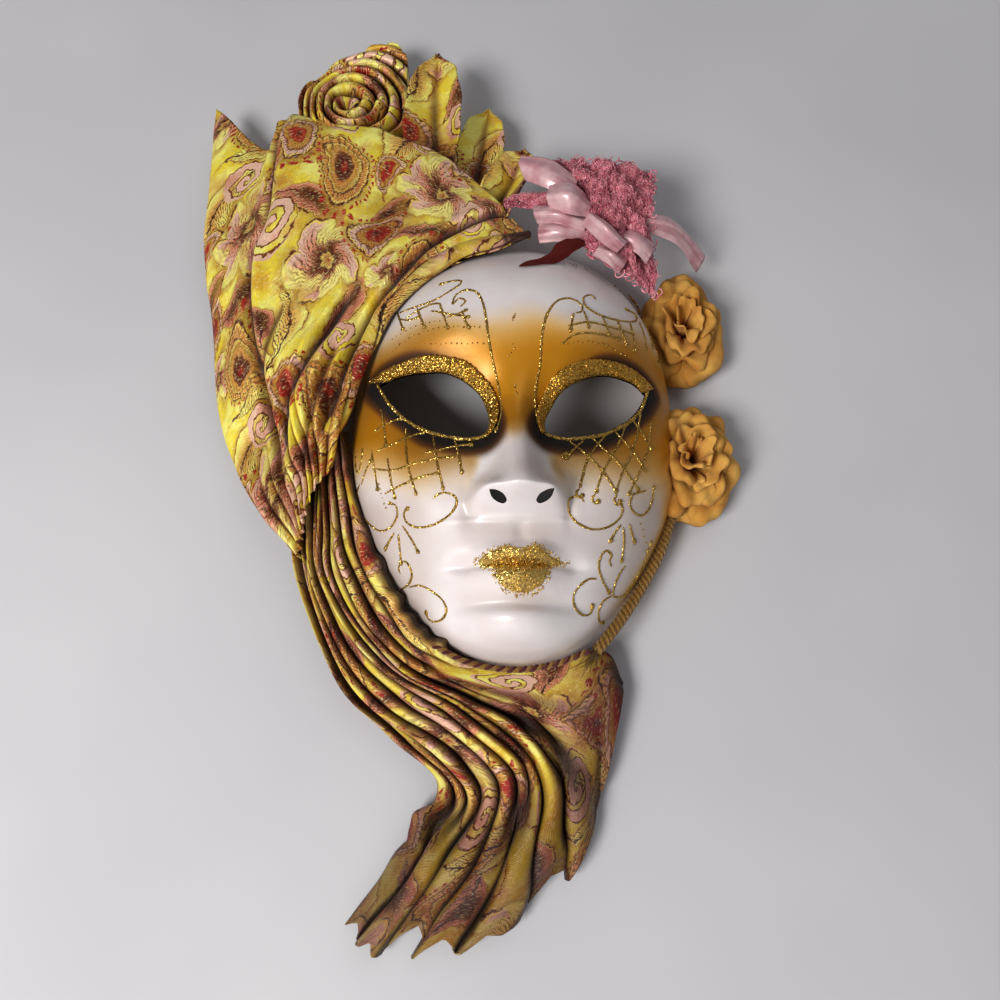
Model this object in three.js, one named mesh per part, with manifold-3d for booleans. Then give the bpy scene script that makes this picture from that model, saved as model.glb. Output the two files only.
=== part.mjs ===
// A Venetian full-face mask, lying on its back. Millimetres, +Y towards the forehead, +Z out of the face.
// A moulded shell, rimmed with pleated brocade that is wound into a fan, a sash and a rosette,
// and dressed with satin, lace, cloth roses, a gold cord and a feather.

import * as THREE from 'three';
import { mergeVertices } from 'three/addons/utils/BufferGeometryUtils.js';
import Module from 'manifold-3d';

const wasm = await Module();
wasm.setup();

// Driving dimensions of the moulded face, measured from a point between the eyes.
const FACE_HALF_WIDTH = 82;
const FACE_ABOVE_EYES = 115;
const FACE_BELOW_EYES = 107;
const FACE_DEPTH = 61;
const JAW_TAPER = 0.26;
const WALL = 2.6;
const SIDE_POWER = 2.2;
const END_POWER = 2.7;

// Every cut between neighbours leaves this much room.
const GAP = 0.5;

// To save triangles, a solid may stray this far from its drawn shape, and this far again once it is cut.
const TOLERANCE = 0.25;
const CUT_TOLERANCE = 0.15;

// Softly rounded swellings of the face: centre x, centre y, reach x, reach y, height.
// Those off the centre line are mirrored.
const SWELLINGS = {
  forehead: [0, 64, 56, 38, 11],
  browRidge: [34, 44, 26, 9, 3],
  eyeSocket: [38, 7, 27, 21, -7],
  innerCorner: [15, 9, 7, 13, -5],
  cheekbone: [46, -26, 24, 22, 4],
  muzzle: [0, -64, 30, 20, 7],
  nostrilWing: [14.5, -37, 6.5, 7, 12],
  noseBall: [0, -34, 10, 9, 3],
  philtrum: [0, -51.5, 3.5, 5, -1.4],
  upperLip: [7, -59.8, 8, 3.8, 4.2],
  lipBow: [0, -61.5, 4, 3, 1.6],
  mouthLine: [0, -64.6, 23, 1.5, -3],
  mouthCorner: [24, -64, 6, 4, -2.2],
  lowerLip: [0, -70.2, 12, 4.6, 5.6],
  chinCrease: [0, -80, 28, 3.2, -3.4],
  chin: [0, -91, 25, 13, 15],
};

// The nose: its ridge rises from the root to the tip, then drops to the lip.
const NOSE_ROOT = 27;
const NOSE_TIP = -37;
const NOSE_BASE = -45;
const NOSE_RISE = 25;
const NOSE_BRIDGE_HALF = 6.5;
const NOSE_FLARE = 7.5;

// The almond eye opening, from its outer point over the top and back, for the +X side.
const EYE_OUTLINE = [[62, 24], [46, 29], [30, 25.5], [18, 15], [12.5, 4], [16, -4.5], [26, -6], [38, -1], [50, 7.5], [62, 24]];
const LID_LINE = [[72, 31], [58, 33], [43, 33.5], [27, 29.5], [14, 18], [8.5, 4], [12, -5]];
const LID_WIDTH = 8.5;
const LID_RISE = 3.4;

const FACE_RINGS = 19;
const FACE_SIDES = 37;
const FACE_FOCUS = 0.4;

const NOSTRIL = { x: 10, y: -41, z: 68, long: 3.7, short: 2.3, turn: 0.7, tilt: 0.3 };

const smooth = (value) => {
  const held = Math.min(1, Math.max(0, value));
  return held * held * (3 - 2 * held);
};

/** How far out a plan point lies: 0 at the middle of the face, 1 on its rim. */
function reach(x, y) {
  const half = FACE_HALF_WIDTH * (1 - JAW_TAPER * smooth(-y / FACE_BELOW_EYES));
  const length = y > 0 ? FACE_ABOVE_EYES : FACE_BELOW_EYES;
  return (Math.abs(x) / half) ** SIDE_POWER + (Math.abs(y) / length) ** END_POWER;
}

/** The nose's height above the cheeks. */
function noseHeight(x, y) {
  if (y > NOSE_ROOT || y < NOSE_BASE) return 0;
  const run = (NOSE_ROOT - y) / (NOSE_ROOT - NOSE_TIP);
  const ridge = y > NOSE_TIP ? NOSE_RISE * run ** 1.6 : NOSE_RISE * smooth((y - NOSE_BASE) / (NOSE_TIP - NOSE_BASE));
  const half = NOSE_BRIDGE_HALF + NOSE_FLARE * Math.min(1, run) ** 2;
  return ridge * Math.exp(-((Math.abs(x) / half) ** 2.4));
}

/** The outer surface of the face above the table. */
function faceHeight(x, y) {
  const edge = Math.max(0, 1 - reach(x, y));
  const fade = smooth(edge * 5);
  let height = FACE_DEPTH * edge ** (1 / SIDE_POWER) + noseHeight(x, y);
  for (const [cx, cy, rx, ry, rise] of Object.values(SWELLINGS)) {
    const near = (sx) => Math.exp(-(((x - sx) / rx) ** 2) - ((y - cy) / ry) ** 2);
    height += rise * fade * (near(cx) + (cx ? near(-cx) : 0));
  }
  return height;
}

/** Distance from the middle of the face to its rim in one direction. */
function rimRadius(angle) {
  let low = 0;
  let high = 2 * FACE_ABOVE_EYES;
  for (let step = 0; step < 40; step += 1) {
    const middle = (low + high) / 2;
    if (reach(middle * Math.cos(angle), middle * Math.sin(angle)) < 1) low = middle;
    else high = middle;
  }
  return low;
}

/** The outward normal of the face; level at the rim. */
function faceNormal(x, y) {
  const step = 0.4;
  if (reach(x, y) > 0.985) return new THREE.Vector3(x, y * 0.6, 0).normalize();
  const slopeX = (faceHeight(x + step, y) - faceHeight(x - step, y)) / (2 * step);
  const slopeY = (faceHeight(x, y + step) - faceHeight(x, y - step)) / (2 * step);
  return new THREE.Vector3(-slopeX, -slopeY, 1).normalize();
}

// Solids: a closed three.js shape to a solid and back.

/** Merges a closed geometry's vertices and turns it the right way out. */
function closedMesh(geometry) {
  const bare = geometry.clone();
  bare.deleteAttribute('normal');
  bare.deleteAttribute('uv');
  const merged = mergeVertices(bare, 1e-4);
  const at = (i) => new THREE.Vector3().fromBufferAttribute(merged.attributes.position, i);
  const index = Array.from(merged.index.array);
  const faces = [];
  let volume = 0;
  for (let i = 0; i < index.length; i += 3) {
    const [a, b, c] = index.slice(i, i + 3);
    if (a === b || b === c || c === a) continue;
    faces.push([a, b, c]);
    volume += at(a).dot(at(b).cross(at(c)));
  }
  merged.setIndex(faces.flatMap(([a, b, c]) => (volume < 0 ? [a, c, b] : [a, b, c])));
  return merged;
}

function toSolid(geometry) {
  const mesh = closedMesh(geometry);
  return new wasm.Manifold(new wasm.Mesh({
    numProp: 3,
    vertProperties: new Float32Array(mesh.attributes.position.array),
    triVerts: new Uint32Array(mesh.index.array),
  }));
}

function toGeometry(solid) {
  const mesh = solid.getMesh();
  const geometry = new THREE.BufferGeometry();
  geometry.setAttribute('position', new THREE.BufferAttribute(new Float32Array(mesh.vertProperties), 3));
  geometry.setIndex(Array.from(mesh.triVerts));
  geometry.computeVertexNormals();
  return geometry;
}

/** The same solid a little larger, for cutting its neighbours; shifted copies fill its narrow folds. */
function swollen(solid, by = GAP) {
  const geometry = toGeometry(solid);
  const { position, normal } = geometry.attributes;
  for (let i = 0; i < position.count; i += 1) {
    const point = new THREE.Vector3().fromBufferAttribute(position, i);
    point.addScaledVector(new THREE.Vector3().fromBufferAttribute(normal, i), by);
    position.setXYZ(i, point.x, point.y, point.z);
  }
  const shifted = [-by, 0, by].map((dz) => solid.translate([0, 0, dz]));
  return wasm.Manifold.union([toSolid(geometry), ...shifted]);
}

/** The largest single body of a solid, so that no crumb is left after a cut. */
function mainBody(solid) {
  return solid.decompose().reduce((a, b) => (a.volume() > b.volume() ? a : b));
}

/** Cuts a solid back from each of its neighbours. */
function clearOf(solid, neighbours) {
  return mainBody(neighbours.reduce((left, other) => left.subtract(other), solid));
}

/** A box bent to shape: place(along, across, isTop) gives each corner of its two skins. */
function slab(alongSteps, acrossSteps, place) {
  const box = new THREE.BoxGeometry(1, 1, 1, acrossSteps, alongSteps, 1);
  const { position } = box.attributes;
  for (let i = 0; i < position.count; i += 1) {
    const point = place(position.getY(i) + 0.5, position.getX(i) + 0.5, position.getZ(i) > 0);
    position.setXYZ(i, point.x, point.y, point.z);
  }
  return toSolid(box);
}

/** A ball bent to shape: place(angle, out, isTop) runs from its top pole over the edge to its bottom pole. */
function lens(rings, sides, place) {
  const ball = new THREE.SphereGeometry(1, sides, 2 * rings + 1);
  const { position } = ball.attributes;
  for (let i = 0; i < position.count; i += 1) {
    const row = Math.floor(i / (sides + 1));
    const angle = (2 * Math.PI * (i % (sides + 1))) / sides;
    const isTop = row <= rings;
    const out = (isTop ? row : 2 * rings + 1 - row) / rings;
    const point = place(i % (sides + 1) === sides ? 0 : angle, out, isTop);
    position.setXYZ(i, point.x, point.y, point.z);
  }
  return toSolid(ball);
}

/** A smooth surface through guide curves: along runs down each guide, across from the first to the last. */
class Loft {
  constructor(guides) {
    this.curves = guides.map((points) => Loft.curve(points.map((p) => new THREE.Vector3(...p))));
  }

  static curve(points) {
    return new THREE.CatmullRomCurve3(points, false, 'catmullrom', 0.5);
  }

  at(along, across) {
    return Loft.curve(this.curves.map((curve) => curve.getPoint(along))).getPoint(across);
  }
}

// The moulded face.

/** One point of the shell's outer or inner skin; the sides crowd together towards the chin. */
function faceSkin(turn, out, isTop) {
  const angle = turn - FACE_FOCUS * Math.cos(turn);
  const radius = rimRadius(angle) * Math.sin((out * Math.PI) / 2);
  const x = radius * Math.cos(angle);
  const y = radius * Math.sin(angle);
  const skin = new THREE.Vector3(x, y, out === 1 ? 0 : faceHeight(x, y));
  if (!isTop) skin.addScaledVector(faceNormal(x, y), -WALL);
  return skin;
}

function eyeCutter(side) {
  const [start, ...rest] = EYE_OUTLINE.map(([x, y]) => new THREE.Vector2(side * x, y));
  const shape = new THREE.Shape();
  shape.moveTo(start.x, start.y);
  shape.splineThru(rest);
  return toSolid(new THREE.ExtrudeGeometry(shape, { depth: 200, bevelEnabled: false, curveSegments: 3 }));
}

function nostrilCutter(side) {
  const hole = new THREE.CylinderGeometry(1, 1, 60, 8);
  hole.rotateX(Math.PI / 2);
  hole.scale(NOSTRIL.long, NOSTRIL.short, 1);
  hole.rotateZ(-side * NOSTRIL.turn);
  hole.rotateX(NOSTRIL.tilt);
  hole.translate(side * NOSTRIL.x, NOSTRIL.y, NOSTRIL.z);
  return toSolid(hole);
}

/** The raised lid over one eye, widest over the middle and pointed at both ends. */
function eyelid(side) {
  const line = Loft.curve(LID_LINE.map(([x, y]) => new THREE.Vector3(side * x, y, 0)));
  return slab(12, 3, (along, across, isTop) => {
    const middle = line.getPoint(along);
    const inward = new THREE.Vector3(0, 0, side).cross(line.getTangent(along));
    const width = LID_WIDTH * (0.16 + 0.84 * Math.sin(Math.PI * along) ** 0.6);
    const point = middle.addScaledVector(inward, -(across - 0.36) * width);
    const rise = isTop ? LID_RISE * Math.sin(Math.PI * (0.12 + 0.76 * across)) : -1.6;
    point.z = faceHeight(point.x, point.y) + rise;
    return point;
  });
}

function buildFace() {
  let face = lens(FACE_RINGS, FACE_SIDES, faceSkin);
  for (const side of [-1, 1]) {
    face = face.add(eyelid(side)).subtract(eyeCutter(side)).subtract(nostrilCutter(side));
  }
  return mainBody(face);
}

/** The space that the face takes, its hollow and holes included. */
function faceBulk() {
  const room = (angle, out, isTop) => {
    const skin = faceSkin(angle, out, true);
    return isTop ? skin : skin.setZ(-5);
  };
  let bulk = lens(FACE_RINGS, FACE_SIDES, room);
  for (const side of [-1, 1]) bulk = bulk.add(eyelid(side));
  return swollen(bulk);
}

// The brocade. A sheet's ridges stand on the surface of its loft.

const CLOTH = 2.2;

/** A row of rounded pleats, as a height from 0 in the valleys to 1 on the ridges. */
const pleat = (across, count) => 0.5 - 0.5 * Math.cos(2 * Math.PI * across * count);

// The sash falls from the tie at the temple, sweeps under the chin and ends in a collar and a tail.
const SASH_GUIDES = [
  [[-110, -3, 20], [-116, -30, 15], [-106, -62, 11], [-84, -106, 9], [-57, -135, 8], [-35, -154, 8], [-47, -177, 6], [-74, -213, 3]],
  [[-104, -3, 24], [-107, -33, 19], [-99, -66, 15], [-72, -112, 12], [-40, -134, 12], [-18, -157, 12], [-28, -186, 9], [-58, -226, 3]],
  [[-97, -3, 26], [-94, -36, 22], [-86, -64, 19], [-60, -99, 17], [-25, -122, 17], [2, -150, 16], [1, -184, 11], [-22, -225, 3]],
  [[-90, -5, 26], [-85, -36, 22], [-72, -66, 20], [-48, -96, 20], [-20, -113, 19], [10, -132, 17], [25, -158, 12], [27, -194, 4]],
  [[-81, -3, 25], [-76, -34, 22], [-61, -64, 21], [-41, -88, 21], [-14, -99, 20], [15, -99, 19], [38, -94, 16], [51, -107, 11]],
];
const SASH_PLEATS = 11;
const SASH_RIDGE = 4.6;
const SASH_NOTCH = 0.02;

function buildSash() {
  const loft = new Loft(SASH_GUIDES);
  return slab(13, 2 * SASH_PLEATS, (along, across, isTop) => {
    const ridged = pleat(across, SASH_PLEATS);
    const point = loft.at(along * (1 - SASH_NOTCH * smooth(along * 4 - 3) * (1 - ridged)), across);
    const collar = smooth((across - 0.72) / 0.2) * smooth((along - 0.5) / 0.3);
    const ridge = SASH_RIDGE * (1 - 0.8 * collar) * ridged;
    point.z = isTop ? point.z + ridge : Math.max(0.4, point.z - CLOTH);
    return point;
  });
}

// The fan opens from the tie to the notched edge at the upper left.
const FAN_GUIDES = [
  [[-113, -31, 21], [-127, -20, 17], [-147, 9, 15], [-159, 59, 15], [-167, 116, 16], [-168, 203, 20]],
  [[-110, -20, 26], [-120, 4, 22], [-134, 46, 21], [-144, 90, 22], [-146, 134, 22], [-138, 183, 19]],
  [[-106, -11, 28], [-112, 18, 30], [-117, 56, 31], [-119, 100, 31], [-120, 145, 31], [-123, 190, 28]],
  [[-101, -5, 29], [-101, 22, 34], [-98, 56, 38], [-84, 92, 41], [-62, 128, 41], [-38, 159, 36]],
  [[-91, -6, 30], [-84, 20, 36], [-73, 50, 41], [-57, 80, 46], [-28, 103, 49], [9, 108, 48]],
];
const FAN_FOLDS = 5;
const FAN_FOLD = 3.2;

function buildFan() {
  const loft = new Loft(FAN_GUIDES);
  return slab(7, 3 * FAN_FOLDS, (along, across, isTop) => {
    const point = loft.at(along, across);
    const opened = 1 - 0.6 * along * smooth((across - 0.3) / 0.3);
    point.z += FAN_FOLD * opened * pleat(across, FAN_FOLDS) - (isTop ? 0 : CLOTH);
    return point;
  });
}

// The band follows the edge of the face from the tie to the flowers.
const BAND_LINE = [
  [-101, -27, 27], [-88, -8, 31], [-82, 14, 33], [-77, 36, 36], [-66, 61, 40], [-48, 84, 44], [-25, 101, 47], [10, 111, 49],
];
const BAND_WIDTH = 10;
const BAND_RISE = 5;
const BAND_DEPTH = 5;

function buildBand() {
  const line = Loft.curve(BAND_LINE.map((p) => new THREE.Vector3(...p)));
  return slab(14, 3, (along, across, isTop) => {
    const side = new THREE.Vector3(0, 0, 1).cross(line.getTangent(along)).normalize();
    const point = line.getPoint(along).addScaledVector(side, (0.5 - across) * BAND_WIDTH * (0.75 + 0.45 * along));
    point.z += isTop ? BAND_RISE * Math.sin(Math.PI * (0.15 + 0.7 * across)) : -BAND_DEPTH;
    return point;
  });
}

// The rosette: pleated cloth wound outwards from its eye, with a tall petal at the back.
const ROSETTE = { x: -88, y: 205, base: 9, radius: 33, crown: 24, pitch: 7.4, ridge: 4.2 };
const ROSETTE_PEAK = { angle: 1.2, spread: 0.42, length: 18 };

function buildRosette() {
  return lens(11, 24, (angle, out, isTop) => {
    const turn = Math.atan2(Math.sin(angle - ROSETTE_PEAK.angle), Math.cos(angle - ROSETTE_PEAK.angle));
    const edge = ROSETTE.radius + ROSETTE_PEAK.length * Math.exp(-((turn / ROSETTE_PEAK.spread) ** 2));
    const radius = edge * out;
    const winding = pleat(radius / ROSETTE.pitch - angle / (2 * Math.PI), 1);
    const crown = ROSETTE.crown * (1 - 0.55 * out ** 2) + ROSETTE.ridge * winding * Math.min(1, 3 * out);
    return new THREE.Vector3(
      ROSETTE.x + radius * Math.cos(angle),
      ROSETTE.y + radius * Math.sin(angle),
      isTop ? ROSETTE.base + crown - 2 : ROSETTE.base + 2 * out,
    );
  });
}

/** A folded leaf of cloth from a root to a tip, cupped along its length. */
function leaf({ root, tip, width, cup, thickness = CLOTH }, steps = 6) {
  const start = new THREE.Vector3(...root);
  const end = new THREE.Vector3(...tip);
  const side = end.clone().sub(start).cross(new THREE.Vector3(0, 0, 1)).normalize();
  return slab(steps, 2, (along, across, isTop) => {
    const half = width * (0.32 + 0.68 * Math.sin(Math.PI * (0.12 + 0.78 * along))) / 2;
    const offset = 2 * across - 1;
    const point = start.clone().lerp(end, along).addScaledVector(side, offset * half);
    point.z += cup * offset ** 2 * Math.sin(Math.PI * (0.1 + 0.8 * along)) - (isTop ? 0 : thickness);
    return point;
  });
}

const BROCADE_LEAVES = {
  brocade_leaf_tall: { root: [-44, 146, 24], tip: [-42, 236, 27], width: 31, cup: 9 },
  brocade_leaf_short: { root: [-24, 134, 20], tip: [-13, 212, 13], width: 27, cup: 5 },
  brocade_leaf_curled: { root: [-13, 118, 35], tip: [6, 167, 32], width: 22, cup: 8 },
};

// The pink flower: ribbon petals round a knot, over a ruffled lace frill.
const PINK_CENTRE = [38, 112, 50];
const SATIN_PETALS = [
  { turn: 2.2, length: 44, width: 27, drop: 3, cup: 3 },
  { turn: 2.75, length: 40, width: 20, drop: -2, cup: 4 },
  { turn: 3.35, length: 29, width: 16, drop: -1, cup: 3 },
  { turn: 5.6, length: 38, width: 14, drop: 4, cup: 5 },
  { turn: 5.15, length: 30, width: 13, drop: -2, cup: 4 },
  { turn: 0.95, length: 40, width: 22, drop: 9, cup: 4 },
  { turn: 0.1, length: 46, width: 20, drop: 14, cup: 4 },
];

function buildSatin() {
  const [x, y, z] = PINK_CENTRE;
  const knot = new THREE.SphereGeometry(7, 8, 5);
  knot.translate(x, y, z + 2);
  return SATIN_PETALS.reduce((flower, { turn, length, width, drop, cup }) => {
    const tip = [x + length * Math.cos(turn), y + length * Math.sin(turn), z - drop];
    return flower.add(leaf({ root: [x, y, z], tip, width, cup, thickness: 1.8 }, 2));
  }, toSolid(knot));
}

const LACE = { x: 47, y: 117, z: 40, long: 34, wide: 27, slope: -0.32, ruffles: 9, ruffle: 3.2, thickness: 2 };

function buildLace() {
  return lens(2, 3 * LACE.ruffles, (angle, out, isTop) => {
    const scallop = 1 + 0.06 * Math.cos(LACE.ruffles * angle);
    const dx = LACE.long * out * scallop * Math.cos(angle);
    const dy = LACE.wide * out * scallop * Math.sin(angle);
    const ruffle = LACE.ruffle * out ** 2 * Math.sin(LACE.ruffles * angle);
    const lift = isTop ? LACE.thickness : 0;
    return new THREE.Vector3(LACE.x + dx, LACE.y + dy, LACE.z + LACE.slope * dx + ruffle + lift);
  });
}

// Cloth roses: ruffled rings of petals, each ring standing above the one outside it.
const ROSES = {
  rose_upper: { x: 88, y: 72, z: 3, radius: 25, height: 27 },
  rose_lower: { x: 88, y: -4, z: 3, radius: 28, height: 30 },
};
const ROSE_RINGS = 8;
const ROSE_SIDES = 18;
const ROSE_RUFFLE = 5;

function buildRose({ x, y, z, radius, height }) {
  return lens(ROSE_RINGS, ROSE_SIDES, (angle, out, isTop) => {
    const ring = Math.round(out * ROSE_RINGS);
    const crest = ring % 2 === 0 ? 0 : -0.2;
    const petals = Math.cos(ROSE_RUFFLE * angle + 1.3 * Math.floor(ring / 2));
    const rim = radius * out * (1 + 0.07 * petals * out);
    const lift = (0.92 - 0.5 * out ** 1.6 + crest + 0.05 * petals * out) * height;
    const foot = height * 0.35 * out ** 2;
    return new THREE.Vector3(x + rim * Math.cos(angle), y + rim * Math.sin(angle), z + (isTop ? lift : foot));
  });
}

// Twisted cord: a round section with two strands winding round it.
function twistedCord(points, radius, pitch, steps, sides) {
  const line = Loft.curve(points.map((p) => new THREE.Vector3(...p)));
  const length = line.getLength();
  const cord = new THREE.SphereGeometry(1, sides, steps);
  const { position } = cord.attributes;
  for (let i = 0; i < position.count; i += 1) {
    const row = Math.floor(i / (sides + 1));
    const angle = (2 * Math.PI * (i % (sides + 1) % sides)) / sides;
    const along = row / steps;
    const side = new THREE.Vector3(0, 0, 1).cross(line.getTangent(along)).normalize();
    const lobes = 1 + 0.16 * Math.cos(2 * angle - (2 * Math.PI * along * length) / pitch);
    const thick = row === 0 || row === steps ? 0 : radius * lobes;
    const point = line.getPoint(along).addScaledVector(side, thick * Math.cos(angle));
    position.setXYZ(i, point.x, point.y, point.z + thick * Math.sin(angle));
  }
  return toSolid(cord);
}

const GOLD_CORD = [[77, -30, 13], [70.5, -48, 14], [61.5, -64, 15], [51.5, -79, 18], [42, -91, 21], [37, -97, 22]];
const CHIN_CORD = [[34, -97, 27], [18, -103, 27], [0, -105.5, 27], [-20, -102.5, 27], [-38, -94, 28]];

// The feather lies over the forehead from under the flower.
const FEATHER = { root: [30, 93, 62], tip: [3, 80, 67], width: 8, cup: 1, thickness: 0.8 };

const FINISHES = {
  pearl: { color: '#e6e0dc', roughness: 0.25, metalness: 0 },
  brocade: { color: '#c9a437', roughness: 0.5, metalness: 0.2 },
  satin: { color: '#cf8f9c', roughness: 0.35, metalness: 0 },
  lace: { color: '#c06a80', roughness: 0.7, metalness: 0 },
  rose: { color: '#dca95f', roughness: 0.7, metalness: 0 },
  gold: { color: '#b59a4c', roughness: 0.4, metalness: 0.5 },
  burgundy: { color: '#6b3024', roughness: 0.6, metalness: 0.1 },
  feather: { color: '#8a3a30', roughness: 0.8, metalness: 0 },
};

// Each entry is built in turn and cut back from the ones before it that it touches.
const mask = new THREE.Group();
const placed = [];

function place(name, finish, solid, cutBack = true) {
  const plain = solid.simplify(TOLERANCE);
  const fitted = cutBack ? clearOf(plain, placed) : plain;
  placed.push(swollen(plain));
  const mesh = new THREE.Mesh(toGeometry(fitted.simplify(CUT_TOLERANCE)), new THREE.MeshStandardMaterial(FINISHES[finish]));
  mesh.name = name;
  mask.add(mesh);
}

place('face_shell', 'pearl', buildFace(), false);
placed[0] = faceBulk();
place('gold_cord', 'gold', twistedCord(GOLD_CORD, 3.1, 9, 24, 6));
place('chin_cord', 'burgundy', twistedCord(CHIN_CORD, 2.1, 7, 18, 6));
place('edge_band', 'brocade', buildBand());
place('feather', 'feather', leaf(FEATHER, 3));
place('satin_flower', 'satin', buildSatin());
place('lace_frill', 'lace', buildLace());
for (const [name, shape] of Object.entries(ROSES)) place(name, 'rose', buildRose(shape));
place('pleated_sash', 'brocade', buildSash());
place('brocade_fan', 'brocade', buildFan());
for (const [name, shape] of Object.entries(BROCADE_LEAVES)) place(name, 'brocade', leaf(shape));
place('rosette', 'brocade', buildRosette());

// The origin is under the middle of the whole mask, on the table.
const box = new THREE.Box3().setFromObject(mask);
const middle = box.getCenter(new THREE.Vector3());
mask.position.set(-middle.x, -middle.y, -box.min.z);

export default mask;
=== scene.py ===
"""Looks of a venetian mask dressed with brocade, satin, lace and cloth roses.

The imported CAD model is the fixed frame. Places are in millimetres in the face frame, whose origin lies on
the floor 107 mm above the chin, with X to the viewer's right and Y to the crown of the head. to_row() turns
them into metres of the part's own frame.
"""

import logging
import math
from dataclasses import dataclass
from enum import Enum
from typing import Callable

import bpy
import numpy as np
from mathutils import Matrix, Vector


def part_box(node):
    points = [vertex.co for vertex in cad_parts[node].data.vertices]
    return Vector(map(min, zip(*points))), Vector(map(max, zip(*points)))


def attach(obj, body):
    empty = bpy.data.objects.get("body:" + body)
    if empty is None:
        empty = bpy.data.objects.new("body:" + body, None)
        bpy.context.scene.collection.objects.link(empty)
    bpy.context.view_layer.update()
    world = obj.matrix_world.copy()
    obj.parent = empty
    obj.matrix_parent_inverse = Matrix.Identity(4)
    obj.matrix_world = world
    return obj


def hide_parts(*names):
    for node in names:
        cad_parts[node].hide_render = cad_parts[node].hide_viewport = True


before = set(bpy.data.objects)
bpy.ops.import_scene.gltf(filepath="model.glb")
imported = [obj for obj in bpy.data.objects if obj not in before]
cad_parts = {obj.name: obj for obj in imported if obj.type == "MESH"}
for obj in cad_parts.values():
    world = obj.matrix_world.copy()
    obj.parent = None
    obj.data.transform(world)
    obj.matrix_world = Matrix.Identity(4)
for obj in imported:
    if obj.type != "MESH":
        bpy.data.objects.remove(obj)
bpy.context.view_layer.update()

Array = np.ndarray
Colour = tuple[float, float, float, float]
Point = tuple[float, float, float]
Spot = tuple[float, float]
Line = Array | tuple[tuple[float, ...], ...]
Piece = bpy.types.Object

MM = 0.001
TURN = 2 * math.pi
CLOTH_UV = 0.01  # one unit of a cloth's UV map is 100 mm
WELD_GAP = 1e-5  # metres between corners that are one corner of a closed form
SEAM_GAP = 2e-6  # metres between corners where a round sheet meets itself
SHELL_LOW, SHELL_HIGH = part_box("face_shell")
CHIN_Y = -107.0
FACE_ORIGIN = np.array([(SHELL_LOW.x + SHELL_HIGH.x) / 2, SHELL_LOW.y - CHIN_Y * MM, 0.0])
log = logging.getLogger("venetian_mask")


class Held(Enum):
    """How a sheet of cloth is held on the mask."""

    GATHERED = "gathered"
    FOLDED = "folded"


class Slot(Enum):
    """Names of the material slots."""

    PEARL = "pearl_shell"
    BROCADE = "brocade"
    SATIN = "pink_satin"
    LACE = "rose_lace"
    PEACH = "peach_cloth"
    GOLD = "gold_twist"
    BURGUNDY = "burgundy_twist"
    FEATHER = "red_feather"


# Numbers


def smooth(value: Array) -> Array:
    """A soft step from 0 to 1 as value goes from 0 to 1."""
    held = np.clip(value, 0, 1)
    return held * held * (3 - 2 * held)


def hump(x: Array, y: Array, cx: float, cy: float, rx: float, ry: float) -> Array:
    """A soft round hill of height 1 at (cx, cy)."""
    return np.exp(-(((x - cx) / rx) ** 2) - ((y - cy) / ry) ** 2)


def wander(x: Array, y: Array, size: float, seed: int) -> Array:
    """Smooth seeded waves, about -1 to 1, whose crests lie about size apart.

    Args:
        x: First coordinate of each point.
        y: Second coordinate of each point.
        size: Distance between crests, in the unit of x and y.
        seed: Names the pattern.

    Returns:
        One value for each point.
    """
    draw = np.random.default_rng(seed)
    total = np.zeros_like(np.asarray(x, float) + y)
    for _ in range(6):
        turn, phase = draw.uniform(0, TURN, 2)
        pitch = size * draw.uniform(0.6, 1.7)
        total = total + np.sin((x * math.cos(turn) + y * math.sin(turn)) * TURN / pitch + phase)
    return total / 3.2


def unit(rows: Array) -> Array:
    """Each row scaled to length 1."""
    return rows / np.maximum(np.linalg.norm(rows, axis=1, keepdims=True), 1e-9)


def walk(path: Array) -> Array:
    """Length walked to each point of a path."""
    return np.concatenate([[0], np.cumsum(np.linalg.norm(np.diff(path, axis=0), axis=1))])


def stretch(points: Array, at: Array) -> tuple[Array, Array, Array]:
    """Readies a smooth curve through points.

    Args:
        points: K points or rows of points.
        at: N places along the curve, 0 to 1.

    Returns:
        The points with one more beyond each end, the gap between points that each place is in, and its share.
    """
    held = np.concatenate([[2 * points[0] - points[1]], points, [2 * points[-1] - points[-2]]])
    scaled = np.clip(at, 0, 1) * (len(points) - 1)
    gap = np.minimum(scaled.astype(int), len(points) - 2)
    return held, gap, scaled - gap


def sweep(a: Array, b: Array, c: Array, d: Array, t: Array) -> Array:
    """The smooth curve from b to c at the share t, led by the points a before and d after."""
    return 0.5 * (2 * b + (c - a) * t + (2 * a - 5 * b + 4 * c - d) * t**2 + (3 * b - a - 3 * c + d) * t**3)


def spline(points: Line, at: Array) -> Array:
    """Follows a smooth curve through points.

    Args:
        points: K points, shape (K, ...).
        at: N places along the curve, 0 to 1.

    Returns:
        The points there, shape (N, ...).
    """
    points = np.asarray(points, float)
    held, gap, share = stretch(points, at)
    return sweep(*(held[gap + k] for k in range(4)), share.reshape((-1,) + (1,) * (points.ndim - 1)))


def even_spline(points: Line, step: float, count: int = 0) -> Array:
    """Points about step apart, or count of them, along the smooth curve through points."""
    fine = spline(points, np.linspace(0, 1, 40 * len(points)))
    walked = walk(fine)
    marks = np.linspace(0, walked[-1], count or max(4, int(walked[-1] / step) + 1))
    return np.stack([np.interp(marks, walked, fine[:, k]) for k in range(fine.shape[1])], 1)


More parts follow.
